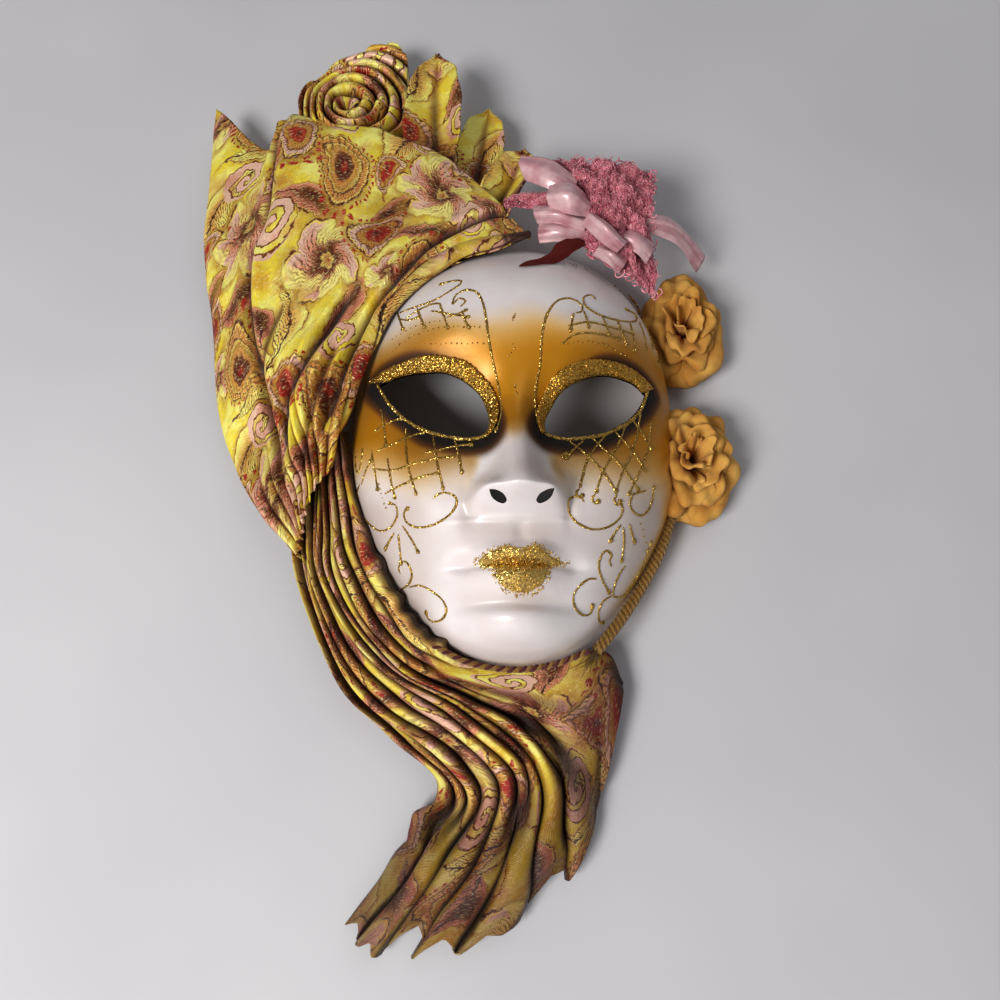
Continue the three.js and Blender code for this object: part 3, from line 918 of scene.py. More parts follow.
@dataclass(frozen=True)
class LaceThread(Finish):
    """Rose-pink glittering lace thread; the ground under it is darker."""

    name: str = "rose_lace_thread"
    light: Colour = ink(252, 166, 180)
    deep: Colour = ink(206, 104, 124)

    def graph(self, g: Graph) -> bpy.types.Material:
        """Builds the node graph."""
        place = g.spot()
        chance, other, _ = g.split(g.cells(place, 1.8))
        cloud = g.noise(place, 0.2, 2)
        colour = g.mix(g.step(cloud, 0.35, 0.65), self.light, self.deep)
        colour = g.mix(g.step(chance, 0.86, 0.93), colour, ink(250, 206, 210))
        return g.shade(
            Base_Color=colour,
            Metallic=g.step(chance, 0.86, 0.93) * 0.5,
            Roughness=g.step(other, 0.0, 1.0, (0.4, 0.75)),
            Sheen_Weight=0.3,
            Sheen_Roughness=0.5,
            Normal=g.bump(g.noise(place, 2.5, 2), 0.2),
        )


@dataclass(frozen=True)
class PeachCloth(Finish):
    """Soft matt apricot cloth of the roses, with painted shade in the folds and deep in the rose."""

    name: str = "apricot_cloth"
    light: Colour = ink(222, 172, 92)
    deep: Colour = ink(190, 134, 60)

    def graph(self, g: Graph) -> bpy.types.Material:
        """Builds the node graph."""
        u, v = g.cloth()
        place = g.spot()
        cloud = g.noise(place, 0.09, 3)
        weave = g.sine(u * (TURN / 0.6)) * g.sine(v * (TURN / 0.6))
        colour = g.mix(g.step(cloud, 0.3, 0.7), self.light, self.deep)
        # painted shade read off the crease attribute
        colour = g.mix(g.step(g.painted("crease"), 0.1, 1.0) * 0.66, colour, ink(136, 80, 28))
        colour = g.mix(g.step(weave, 0.2, 1.0) * 0.12, colour, ink(232, 184, 112))
        return g.shade(
            Base_Color=colour,
            Roughness=0.78,
            Specular_IOR_Level=0.3,
            Subsurface_Weight=0.1,
            Subsurface_Scale=0.003,
            Sheen_Weight=0.06,
            Sheen_Roughness=0.5,
            Normal=g.bump(weave * 0.3 + g.noise(place, 0.8, 3) * 1.5, 0.12),
        )


@dataclass(frozen=True)
class TwistedThread(Finish):
    """Shiny rayon thread laid in fine plies along each strand."""

    name: str
    light: Colour
    deep: Colour
    ply: float = 0.45

    def graph(self, g: Graph) -> bpy.types.Material:
        """Builds the node graph."""
        u, v = g.cloth()
        plies = g.sine((u * 1.0 + v * 0.25) * (TURN / self.ply))
        speck = g.noise(g.spot(), 1.1, 2)
        colour = g.mix(g.step(plies + (speck - 0.5) * 1.6, -0.7, 0.8), self.deep, self.light)
        return g.shade(
            Base_Color=colour,
            Metallic=0.2,
            Roughness=g.step(speck, 0.3, 0.7, (0.32, 0.55)),
            Sheen_Weight=0.2,
            Sheen_Roughness=0.4,
            Normal=g.bump(plies, 0.12),
        )


@dataclass(frozen=True)
class Plume(Finish):
    """Dark red feather, finely barred along its barbs."""

    name: str = "red_plume"
    colour: Colour = ink(128, 40, 30)

    def graph(self, g: Graph) -> bpy.types.Material:
        """Builds the node graph."""
        u, v = g.cloth()
        barbs = g.sine((u * 0.6 + v) * (TURN / 0.5))
        colour = g.mix(g.step(barbs, -0.5, 0.8), ink(84, 20, 14), self.colour)
        return g.shade(Base_Color=colour, Roughness=0.6, Specular_IOR_Level=0.25, Normal=g.bump(barbs, 0.1))


@dataclass(frozen=True)
class FloorPaint(Finish):
    """Plain pale studio floor."""

    name: str = "studio_floor"
    colour: Colour = ink(204, 203, 206)

    def graph(self, g: Graph) -> bpy.types.Material:
        """Builds the node graph."""
        cloud = g.noise(g.spot(), 0.004, 3)
        colour = g.mix(g.step(cloud, 0.3, 0.7), self.colour, ink(196, 195, 199))
        return g.shade(Base_Color=colour, Roughness=0.8)


@dataclass(frozen=True)
class Cloth:
    """How one piece's sheet is cut, dressed and held; lengths are in mm."""

    finish: Finish
    slot: Slot
    width: float
    thick: float
    offset: float
    held: Held
    rests_on: str

    def make_up(self, piece: Piece, node: str) -> Piece:
        """Thickens, dresses and settles an open sheet that stands for a CAD node, and logs its cut size."""
        area = area_mm2(piece)
        apply(piece, "SOLIDIFY", thickness=self.thick * MM, offset=self.offset)
        settle(dress(soften(piece), self.finish.material()), self.slot, node)
        declare(piece, area, self.width, self.held, (self.rests_on,))
        return piece


BROCADE = Brocade()
GOLD_GLITTER = Glitter()
LIP_GLITTER = Glitter(
    name="lip_glitter", dark=ink(140, 104, 44), gold=ink(224, 182, 92), bright=ink(250, 226, 156)
)
FINE_GLITTER = Glitter(name="fine_gold_glitter", flake=0.42, dark=ink(110, 80, 30), gold=ink(184, 154, 84))


# The face


@dataclass(frozen=True)
class Swelling:
    """One soft hill or hollow of the face, mirrored if it is off the middle."""

    x: float
    y: float
    wide: float
    long: float
    rise: float


@dataclass(frozen=True)
class FaceForm:
    """The height of the face over the floor, as in the CAD source."""

    half_width: float = 82.0
    above: float = 115.0
    below: float = 107.0
    depth: float = 61.0
    jaw: float = 0.26
    side_power: float = 2.2
    end_power: float = 2.7
    swellings: tuple[Swelling, ...] = (
        Swelling(0, 64, 56, 38, 11),  # forehead
        Swelling(34, 44, 26, 9, 3),  # brow
        Swelling(38, 7, 27, 21, -7),  # eye socket
        Swelling(15, 9, 7, 13, -5),  # inner corner
        Swelling(46, -26, 24, 22, 4),  # cheek
        Swelling(0, -64, 30, 20, 7),  # muzzle
        Swelling(1, -44.8, 18, 1.2, 0.95),  # ledge under the nose
        Swelling(22, -37, 3, 8, -2.8),  # fold beside the nostril
        Swelling(0, -51.5, 3.5, 5, -1.4),  # groove over the lip
        Swelling(7, -59.8, 8, 3.8, 4.2),  # upper lip
        Swelling(0, -61.5, 4, 3, 1.6),  # its bow
        Swelling(0, -64.6, 23, 1.5, -3),  # line of the mouth
        Swelling(24, -64, 6, 4, -2.2),  # corner of the mouth
        Swelling(0, -70.2, 12, 4.6, 5.6),  # lower lip
        Swelling(0, -80, 28, 3.2, -3.4),  # crease over the chin
        Swelling(0, -91, 25, 13, 15),  # chin
    )

    def reach(self, x: Array, y: Array) -> Array:
        """0 in the middle of the face, 1 on its outline."""
        half = self.half_width * (1 - self.jaw * smooth(-y / self.below))
        length = np.where(y > 0, self.above, self.below)
        return (np.abs(x) / half) ** self.side_power + (np.abs(y) / length) ** self.end_power

    def nose(self, x: Array, y: Array) -> Array:
        """The nose's own height: ridge, wings and tip, which fall together to the lip."""
        run = np.clip((27 - y) / 64, 0, 1.05)
        width = 6.5 + 7.5 * np.minimum(1, run) ** 2
        ridge = 25 * run**1.6 * np.exp(-((np.abs(x) / width) ** 2.4))
        wings = 12 * (hump(x, y, 14.5, -37, 6.5, 7) + hump(x, y, -14.5, -37, 6.5, 7))
        return (ridge + wings + 3 * hump(x, y, 0, -34, 10, 9)) * smooth((y + 45.5) / 9)

    def height(self, x: Array, y: Array) -> Array:
        """The face's height over the floor."""
        x, y = np.asarray(x, float), np.asarray(y, float)
        edge = np.maximum(0, 1 - self.reach(x, y))
        held = smooth(edge * 5)
        total = self.depth * edge ** (1 / self.side_power)
        x = x - 2.4 * hump(x, y, 0, -50, 34, 40)  # the nose and the mouth sit a little to the right
        total = total + self.nose(x, y)
        for s in self.swellings:
            hill = hump(x, y, s.x, s.y, s.wide, s.long)
            if s.x:
                hill = hill + hump(x, y, -s.x, s.y, s.wide, s.long)
            total = total + s.rise * held * hill
        return total

    def normal(self, x: Array, y: Array) -> Array:
        """The face's outward unit normals."""
        step = 0.6
        slope_x = (self.height(x + step, y) - self.height(x - step, y)) / (2 * step)
        slope_y = (self.height(x, y + step) - self.height(x, y - step)) / (2 * step)
        return unit(np.stack([-slope_x, -slope_y, np.ones_like(slope_x)], 1))

    def rim(self, angle: Array, middle: Spot = (0.0, 0.0)) -> Array:
        """Distance from a middle to the outline in each direction."""
        low, high = np.zeros_like(angle), np.full_like(angle, 240.0)
        for _ in range(40):
            half = (low + high) / 2
            inside = self.reach(middle[0] + half * np.cos(angle), middle[1] + half * np.sin(angle)) < 1
            low, high = np.where(inside, half, low), np.where(inside, high, half)
        return low

    def lift(self, flat: Array, by: float | Array) -> Array:
        """Points of the face over places in the plane, raised by some mm along the normal."""
        x, y = flat[:, 0], flat[:, 1]
        base = np.stack([x, y, self.height(x, y)], 1)
        return base + self.normal(x, y) * np.reshape(by, (-1, 1) if np.ndim(by) else (1, 1))


FACE = FaceForm()
EYE_OUTLINES: dict[int, tuple[Spot, ...]] = {
    -1: (
        (-64.8, 26.2), (-60.7, 27.4), (-52, 28.1), (-43.8, 27.7), (-35, 26.6), (-30.5, 25.4), (-24.6, 22.4),
        (-18.9, 18.4), (-15, 15.1), (-12.5, 9.1), (-11.2, 3.2), (-11.6, -2.4), (-13.6, -5.6), (-20.5, -6.5),
        (-27.3, -5.2), (-34.2, -2.5), (-41.4, 1.3), (-48, 6.4), (-54.1, 12.2), (-60, 19.6), (-64.8, 26.2),
    ),
    1: (
        (62.2, 21.8), (56.7, 25.2), (50.4, 26.3), (44.4, 26.5), (36.8, 25.3), (29.2, 22), (23.4, 18.5),
        (19.3, 14.7), (16.4, 9.9), (13.7, 4), (13, -1.5), (13.9, -4.4), (17.8, -5.5), (23.3, -6.2),
        (30.2, -5), (35.9, -3.3), (41.7, -0.9), (47.6, 3), (53.8, 7.9), (58.6, 14), (62.2, 21.8),
    ),
}


def eye_line(side: int, count: int) -> Array:
    """The outline of one eye opening, as points in the plane; side is -1 or 1."""
    return spline(EYE_OUTLINES[side], np.linspace(0, 1, count + 1))[:-1]


def off_eye(x: Array, y: Array) -> Array:
    """Distance to the nearer eye opening's outline, less than zero inside."""
    flat = np.stack([x, y], 1)
    found = np.full(len(flat), 1e9)
    for side in (-1, 1):
        line = eye_line(side, 90)
        ahead = np.roll(line, -1, axis=0)
        away = np.min(np.linalg.norm(flat[:, None, :] - line[None], axis=2), axis=1)
        rise = np.where(ahead[:, 1] == line[:, 1], 1e-9, ahead[:, 1] - line[:, 1])
        crossing = (line[None, :, 1] > flat[:, None, 1]) != (ahead[None, :, 1] > flat[:, None, 1])
        run = (flat[:, None, 1] - line[None, :, 1]) / rise[None]
        left_of = flat[:, None, 0] < line[None, :, 0] + run * (ahead[None, :, 0] - line[None, :, 0])
        inside = (crossing & left_of).sum(axis=1) % 2 == 1
        found = np.where(np.abs(found) < away, found, np.where(inside, -away, away))
    return found


@dataclass
class FaceShell:
    """The pearly shell with its eye and nostril openings, its airbrushed colours and its painted shade."""

    middle: Spot = (0.0, -38.0)
    rings: int = 136
    sides: int = 330
    wall: float = 2.6
    nostril: tuple[Spot, ...] = (
        (-11.1, 82), (-8.5, 82.4), (-5.4, 80), (-3.9, 74.8), (-5.2, 71.4), (-7.9, 72.6), (-10.2, 76.4),
        (-11.1, 82)
    )
    nostril_way: Point = (0.0, 14.5, -5.0)

    def skin(self) -> Piece:
        """The outer surface as one open sheet from the rim to the tip of the nose, where its rings crowd."""

        def place(around: Array, inward: Array) -> tuple[Array, Array]:
            """Puts each corner on the face."""
            turn = around * TURN + 0.4 * np.cos(around * TURN)
            out = 1 - inward
            away = (0.3 * out + 0.7 * smooth(out)) * FACE.rim(turn, self.middle)
            x, y = self.middle[0] + away * np.cos(turn), self.middle[1] + away * np.sin(turn)
            return np.stack([x, y, FACE.height(x, y)], 1), np.stack([x, y], 1)

        return close_seam(woven_grid("face_shell_dressed", self.sides, self.rings, place))

    def inside(self, outer: Array) -> Array:
        """The inner wall: under the face by its thickness, and inwards by as much at the steep rim."""
        steep = smooth((FACE.reach(outer[:, 0], outer[:, 1]) - 0.6) / 0.4)
        away = np.maximum(np.linalg.norm(outer[:, :2], axis=1), 20)
        inner = outer.copy()
        inner[:, :2] *= (1 - self.wall * steep / away)[:, None]
        inner[:, 2] = np.maximum(outer[:, 2] - self.wall, 0)
        return inner

    def cutter(self, foot: Array, way: Point) -> Piece:
        """A prism that starts on a closed line and runs some way, dressed in the black lining."""
        deselect()
        bpy.ops.mesh.primitive_circle_add(vertices=len(foot), radius=1, fill_type="NGON")
        piece = bpy.context.object
        move_corners(piece, to_row(foot))
        dress(piece, BlackLining().material())
        rise = tuple(v * MM for v in way)
        return edit(
            piece,
            lambda: bpy.ops.mesh.extrude_region_move(TRANSFORM_OT_translate={"value": rise}),
            lambda: bpy.ops.mesh.select_all(action="SELECT"),
            lambda: bpy.ops.mesh.normals_make_consistent(inside=False),
        )

    def openings(self) -> list[Piece]:
        """The cutters of both eyes and both nostrils."""
        made = []
        for side in (-1, 1):
            line = eye_line(side, 96)
            made.append(self.cutter(np.column_stack([line, np.full(len(line), 20.0)]), (0, 0, 90)))
            hole = spline(self.nostril, np.linspace(0, 1, 33))[:-1]
            foot = np.column_stack(
                [(hole[:, 0] - 2.2) * -side + 2.3, np.full(len(hole), -50.0), hole[:, 1] + 3.1]
            )
            made.append(self.cutter(foot, self.nostril_way))
        return made

    def colours(self, piece: Piece) -> None:
        """Paints the airbrushed gold and soot, and the painted shade."""
        at = to_face(corners(piece))
        x, y = at[:, 0], at[:, 1]
        side = np.abs(x)
        soft = 2.4 * wander(x, y, 38, 3)
        top = np.clip((57 + 0.05 * side + 1.6 * soft - y) / 29, 0, 1)
        floor_y = (
            -13 - 26 * smooth((side - 9) / 12) + 0.1 * np.maximum(0, side - 40) + 7 * smooth((-x - 44) / 16)
        )
        low = np.clip((y - floor_y + soft) / (18 + 21 * smooth((side - 12) / 12)), 0, 1)
        edge = smooth((FACE.reach(x, y) - 0.74) / 0.26)
        gold = (
            top * low * (1 - 0.85 * hump(side, y, 11.5, -11, 7, 8))
            + 0.6 * edge * smooth((x - 40) / 16) * smooth((-18 - y) / 16)
        )
        away = off_eye(x, y)
        angle = np.arctan2(y - 12, side - 36)
        thick = 3.6
        for turn, spread, wide in ((1.1, 0.8, 8.0), (0.15, 0.7, 4.5), (-1.4, 0.9, 8.0), (-2.5, 0.6, 6.0)):
            thick = thick + wide * np.exp(-(((angle - turn) / spread) ** 2))
        soot = np.clip(1.22 - away / thick, 0, 1) ** 1.25 * smooth((60 - y) / 12)
        soot = np.maximum(soot, 0.26 * np.clip(1.2 - away / (2.6 * thick), 0, 1) * smooth(gold * 2))
        # painted shade under the nose and the lower lip, beside the nostrils, on both lower cheeks and
        # towards the edge
        shade = 0.42 * hump(x, y, 2, -50.5, 19, 5.5) + 0.34 * hump(x, y, 0, -78.5, 22, 3.4)
        shade = (
            shade + 0.6 * smooth((x - 26) / 34) * smooth((-10 - y) / 24) + 0.35 * edge
            + 0.3 * hump(np.abs(x - 2), y, 23, -37, 3, 9)
        )
        shade = shade + 0.44 * smooth((-26 - x) / 20) * smooth((-16 - y) / 24)
        paint(piece, "gold", np.clip(gold, 0, 1))
        paint(piece, "soot", soot)
        paint(piece, "shade", np.clip(shade, 0, 0.8))

    def build(self) -> Piece:
        """Models, cuts, paints and settles the shell."""
        piece = self.skin()
        outer = to_face(corners(piece))
        apply(
            piece, "SOLIDIFY", thickness=self.wall * MM, offset=-1.0, material_offset=1, material_offset_rim=1
        )
        move_corners(piece, to_row(np.concatenate([outer, self.inside(outer)])))
        dress(piece, PearlPaint().material(), BlackLining().material())
        for knife in self.openings():
            apply(
                piece, "BOOLEAN", operation="DIFFERENCE", object=knife, solver="EXACT",
                material_mode="TRANSFER"
            )
            bpy.data.objects.remove(knife)
        soften(piece, 50)
        self.colours(piece)
        return settle(piece, Slot.PEARL, "face_shell")


# Glitter


BEAD_STEP = 0.8  # mm between the rings of a bead of glue
BEAD_TAPER = 0.25  # share of its width that a bead loses towards its ends


def glue_bead(name: str, line: Line, wide: float, high: float, seed: int, drop: float = 0.0) -> Piece:
    """A rough bead of glitter glue laid on the face along a line in the plane.

    Args:
        name: The bead's name.
        line: Places in the plane, in mm.
        wide: Its width in mm.
        high: Its height in mm.
        seed: Names its roughness.
        drop: How much wider the last drop is, as a share of the width.

    Returns:
        The closed bead.
    """
    path = FACE.lift(even_spline(line, BEAD_STEP), 0.1)

    def radius(along: Array, angle: Array) -> Array:
        """Uneven half width."""
        rough = wander(along * len(path) * 3.1, angle * 1.3 + seed, 4.0, seed)
        swell = wander(along * len(path), along * 0, 9.0, seed + 7)
        to_end = (1 - along) * len(path) * BEAD_STEP
        ends = 1 - BEAD_TAPER * np.abs(2 * along - 1) ** 3 + drop * np.exp(-(((to_end - 1.2) / 1.0) ** 2))
        return wide / 2 * ends * (1 + 0.22 * rough + 0.16 * swell)

    return tube(name, path, radius, 6, high / (wide / 2))


def grains(spots: Array, size: float, seed: int) -> list[Piece]:
    """Loose glitter grains over places in the plane, copied from one grain of some mm across."""
    deselect()
    bpy.ops.mesh.primitive_ico_sphere_add(subdivisions=1, radius=size / 2 * MM)
    grain = bpy.context.object
    ball = corners(grain)
    draw = np.random.default_rng(seed)
    made = []
    for spot in to_row(FACE.lift(spots + draw.uniform(-0.3, 0.3, spots.shape), 0.15)):
        copy = grain.copy()
        copy.data = grain.data.copy()
        bpy.context.collection.objects.link(copy)
        move_corners(copy, ball * draw.uniform(0.55, 1.25) + spot)
        made.append(copy)
    bpy.data.objects.remove(grain)
    return made


@dataclass
class Lids:
    """Narrow bands of coarse glitter over each eye, with a pointed tail at the outer corner."""

    edges: tuple[tuple[tuple[Spot, ...], tuple[Spot, ...]], ...] = (
        (
            ((-70.8, 31.6), (-60.8, 33.1), (-52.9, 33.6), (-45.3, 34.2), (-37.8, 33.5), (-30.6, 31.7),
             (-23.5, 29.3), (-18, 25.5), (-12.4, 19.8), (-8.9, 13.9), (-7.1, 7.3), (-7.5, 1.1), (-9.5, -3.8),
             (-12.3, -6.8)),
            ((-70.2, 30.8), (-60.7, 26.9), (-55.9, 27.3), (-49.8, 27.5), (-43.8, 27.1), (-35, 26),
             (-30.7, 24.9), (-25, 21.9), (-19.4, 17.9), (-15.9, 14.8), (-13.1, 9.1), (-11.7, 3.2),
             (-12, -1.9), (-13.7, -5)),
        ),
        (
            ((67.2, 26.6), (60, 30), (56.9, 31.2), (50.5, 32.3), (42.8, 32.3), (35.4, 31.5), (28.1, 29.1),
             (21.1, 25.3), (16.9, 21.6), (14.1, 17.2), (11.6, 11.6), (10.1, 5.9), (10.2, -0.7), (12.1, -5.6)),
            ((66.8, 25.8), (60.7, 22), (56.7, 24.6), (50.4, 25.7), (44.4, 25.9), (36.9, 24.7), (29.6, 21.4),
             (23.9, 17.9), (19.8, 14.2), (17, 9.6), (14.3, 3.9), (13.6, -1.5), (14, -4.4)),
        ),
    )
    rise: float = 2.6
    lengthwise: int = 150
    around: int = 24

    def band(self, outer: tuple[Spot, ...], inner: tuple[Spot, ...]) -> Piece:
        """One lid between its outer and inner edges, closed."""
        outside, inside = (even_spline(edge, 1, self.lengthwise + 1) for edge in (outer, inner))
        wide = np.linalg.norm(outside - inside, axis=1)

        def place(across: Array, along: Array) -> tuple[Array, Array]:
            """Puts each corner on the lid's rounded section."""
            step = np.rint(along * self.lengthwise).astype(int)
            angle = across * TURN
            share = (0.5 - 0.5 * np.cos(angle))[:, None]
            ragged = 0.25 * wander(along * 150, angle * 2, 2.2, 6)[:, None]
            flat = outside[step] * (1 - share) + inside[step] * share + ragged * (1 - share)
            grain = 0.26 * wander(flat[:, 0], flat[:, 1], 1.1, 5)
            top, low = np.maximum(0, np.sin(angle)), np.minimum(0, np.sin(angle))
            held = FACE.lift(flat, 0.0)
            held[:, 2] += (self.rise * np.minimum(1, wide[step] / 5.5) + grain) * top**0.5 + 1.4 * low
            return held, flat

        return weld(woven_grid("lid", self.around, self.lengthwise, place))

    def build(self) -> Piece:
        """Makes both lids."""
        piece = join("glitter_lids", [self.band(*pair) for pair in self.edges])
        return settle(dress(soften(piece), GOLD_GLITTER.material()), None)


@dataclass
class Lips:
    """Coarse glitter over the lips, thinning to points at the corners of the mouth."""

    outline: tuple[Spot, ...] = (
        (22.4, -63), (19.4, -62.2), (16, -61.3), (12.7, -59.2), (9.6, -57.2), (5.6, -58.1), (2.4, -59.6),
        (-1.1, -58.4), (-4.6, -57.6), (-8.5, -58.6), (-13.2, -60.1), (-17.3, -62.8), (-14.9, -65.6),
        (-10.1, -66.7), (-9.3, -70.1), (-6.9, -73.7), (-2.2, -76.5), (2.5, -77.3), (8, -76), (12, -73.3),
        (14, -69.4), (14.5, -66.2), (19.5, -63.9), (22.4, -63),
    )
    middle: Spot = (2.5, -65.0)
    rings: int = 26
    sides: int = 150
    thick: float = 0.5
    loose: int = 240
    grain: float = 0.75

    def build(self) -> Piece:
        """Makes the glitter patch."""
        line = spline(self.outline, np.linspace(0, 1, self.sides + 1))
        middle = np.array(self.middle)

        def place(around: Array, inward: Array) -> tuple[Array, Array]:
            """Puts each corner just over the lips, with its edge sunk in."""
            edge = line[np.rint(around * self.sides).astype(int)]
            out = (1 - inward)[:, None]
            ragged = 1 + 0.03 * wander(edge[:, 0], edge[:, 1], 1.7, 4)[:, None] * out**4
            flat = middle + (edge - middle) * out * ragged
            grain = (
                wander(flat[:, 0], flat[:, 1], 1.2, 9) * 0.16 + wander(flat[:, 0], flat[:, 1], 0.7, 10) * 0.1
            )
            lift = -0.5 + (1.2 + grain) * smooth(inward * 7)
            return FACE.lift(flat, lift), flat

        piece = close_seam(woven_grid("glitter_lips", self.sides, self.rings, place))
        apply(piece, "SOLIDIFY", thickness=self.thick * MM, offset=-1.0)
        draw = np.random.default_rng(12)
        loose = line[draw.integers(0, self.sides, self.loose)] + draw.normal(0, 0.42, (self.loose, 2))
        piece = join(piece.name, [piece, *grains(loose, self.grain, 13)])
        return settle(dress(soften(piece), LIP_GLITTER.material()), None)


@dataclass
class Tracery:
    """Fine hand-drawn glitter scrolls, nets, drops and dotted rows on the forehead and cheeks."""

    wide: float = 1.08
    high: float = 0.38
    drop: float = 1.3
    rim_wide: float = 1.9
    rim_high: float = 0.75
    dot: float = 1.0
    dot_gap: float = 2.3
    rims: tuple[tuple[Spot, ...], ...] = (
        ((-65.8, 28), (-63.9, 25.1), (-60.5, 19), (-54.9, 11.4), (-48.7, 5.5), (-41.9, 0.5), (-34.6, -3.3),
         (-27.4, -6), (-20.5, -7.3), (-15, -6.5), (-10.9, -5)),
        ((13, -4.9), (17.8, -6.2), (23.3, -7), (30.4, -5.8), (36.2, -4.1), (42.2, -1.7), (48.3, 2.3),
         (54.6, 7.2), (59.6, 13.6), (62.3, 20.2), (64, 25)),
    )
    strokes: tuple[tuple[Spot, ...], ...] = (
        # left brow: scrolls, bars and the line down the nose
        ((-56, 64), (-47, 63), (-38, 63), (-31, 66), (-26, 69), (-25, 72), (-30, 73.5), (-36, 73)),
        ((-52, 58), (-45, 60), (-39, 61), (-35, 60), (-34, 57), (-32, 50), (-30, 43)),
        ((-57, 66), (-54, 56), (-52, 50)),
        ((-46, 62), (-44, 55), (-41, 46)),
        ((-56, 60), (-50, 56), (-44, 55)),
        ((-25, 55), (-22.5, 58), (-25.5, 60.5), (-28.5, 57.5), (-27, 63), (-22, 65), (-17, 62), (-14.5, 56),
         (-13, 48), (-12, 40), (-10, 29), (-8, 21), (-6.5, 13), (-6, 3), (-8.5, -6)),
        ((-31, 50), (-26, 51), (-21, 53)), ((-24, 53), (-22.5, 47), (-20, 42)),
        ((-39, 57), (-30, 52), (-20, 48)),
        # right brow
        ((28, 52), (31, 54), (31, 58), (26, 60.5), (20, 58), (15.5, 51), (13, 43), (12, 35), (11.5, 27),
         (10, 20), (9, 13), (9.5, 5), (10.5, -1)),
        ((39, 64), (36, 66), (32.5, 63), (33, 58), (38, 55), (44, 54.5), (51, 56), (57, 59), (60.5, 63),
         (60, 67), (54, 66)),
        ((60, 98), (64, 92), (66, 86)), ((64, 100), (68, 94), (70, 88)), ((57, 90), (62, 86), (65, 80)),
        ((41, 54), (43, 48), (44, 43)), ((49, 55), (51, 48), (53, 41)), ((56, 58), (57, 48), (57, 40)),
        ((62, 63), (64, 54), (64, 45)), ((32, 55), (33, 50), (34, 44)), ((27, 52), (26, 46), (25, 41)),
        ((24, 44), (34, 48), (46, 49), (58, 51)), ((21, 36), (28, 41), (38, 43), (50, 44)),
        ((66, 72), (68, 62), (69, 50)), ((70, 66), (72, 56), (72, 44)),
        # net under the left eye
        ((-63, 15), (-61, 6), (-59, -6)), ((-66, 4), (-58, 7), (-51, 8)),
        ((-50, 3), (-49.5, -6), (-48, -16), (-46, -24), (-43, -33)),
        ((-37, -3), (-35.5, -12), (-34, -20), (-31, -32)),
        ((-27, -7), (-25, -14), (-23, -25)),
        ((-64, -7), (-55, -5), (-46, -2), (-40, -1)), ((-41, -13), (-34, -12), (-26, -10.5), (-18, -10)),
        ((-66, -15), (-55, -19), (-45, -18), (-35, -16.5), (-26, -16)),
        ((-59, -29), (-50, -27), (-42, -25), (-33, -23.5)),
        ((-67, -5), (-65, -13), (-63.5, -20), (-62, -27)), ((-58, -12), (-56.5, -19), (-55, -26), (-53, -33)),
        ((-76, -2), (-76, -9), (-74, -13), (-72, -8), (-72, -2)), ((-72, -20), (-69, -14), (-66, -10)),
        # net under the right eye
        ((24, -8), (29, -12), (34, -17), (39, -23), (45, -32)),
        ((35, -5), (40, -11), (45, -16), (51, -23), (56, -29)), ((46, 0), (51, -6), (55.5, -12), (60, -19)),
        ((55, 8), (60, 1), (64, -7)), ((31, -7), (26, -12.5), (22, -18)),
        ((42, -2), (36, -10.5), (31.5, -18.5), (28, -31)),
        ((52, 5), (48, -5), (43.5, -14), (38.5, -23), (35, -33)),
        ((60, 14), (57, 1), (52.5, -12), (48, -21), (44, -32)), ((65, 9), (62, -5), (58, -16), (50, -32)),
        ((28, -31), (26.5, -33), (28, -35), (30, -33)), ((35, -33), (33.5, -35), (35, -37), (37, -35)),
        ((45, -32), (43.5, -34.5), (45, -36.5), (47, -34)),
        ((22, -18), (20.5, -16), (22, -14.5), (23.5, -16)),
        # left cheek
        ((-73, -19), (-75, -22), (-74, -28), (-71, -34), (-66, -40), (-61, -43.5), (-56, -43.5), (-52.5, -40),
         (-53, -35.5), (-57, -33)),
        ((-36, -35), (-33, -33), (-29, -33), (-25.5, -35.5), (-26, -39.5), (-30, -43.5), (-36, -46),
         (-43, -46), (-48, -43), (-49, -39), (-46.5, -37)),
        ((-50, -44), (-46, -50), (-42, -57)), ((-52, -47), (-51.5, -53), (-51, -60)),
        ((-54, -46), (-57, -49), (-60, -52)),
        ((-52, -63), (-52.5, -60), (-49.5, -58.5), (-47, -61), (-46, -65), (-48.5, -68), (-54, -69),
         (-59, -72)),
        ((-48, -69), (-42, -69.5), (-36, -73), (-31.5, -77), (-30, -81), (-32, -84), (-36, -84.5),
         (-39, -82.5), (-40, -79)),
        ((-64, -57), (-60.5, -62), (-60, -68)),
        # right cheek
        ((30, -37), (28, -34.5), (24.5, -35), (22.5, -38), (23.5, -42), (27, -46), (33, -48), (40, -46.5),
         (45.5, -42.5), (47.5, -38), (45.5, -34)),
        ((60, -27), (56, -29), (52.5, -31), (51, -35), (53, -38), (57, -38.5), (60.5, -35.5), (63, -30),
         (64, -23)),
        ((47, -44), (44, -48), (41, -53)), ((48, -45), (48.5, -52), (47.5, -60)),
        ((51, -43), (52.5, -47), (54.5, -51)),
        ((43, -62), (41.5, -60), (42.5, -57.5), (40, -56), (37.5, -58.5), (36.5, -63), (38.5, -68),
         (43, -73)),
        ((36, -68), (32, -68.5), (27.5, -72), (25, -76.5), (26.5, -81), (30, -83), (33.5, -81.5),
         (34, -77.5)),
        ((50, -60), (47, -64), (45, -68.5), (44.5, -73), (50, -71.5), (56, -64), (61, -55), (64, -46)),
        ((44, -73), (39.5, -76), (37.5, -80), (38.5, -84), (41.5, -83)),
    )
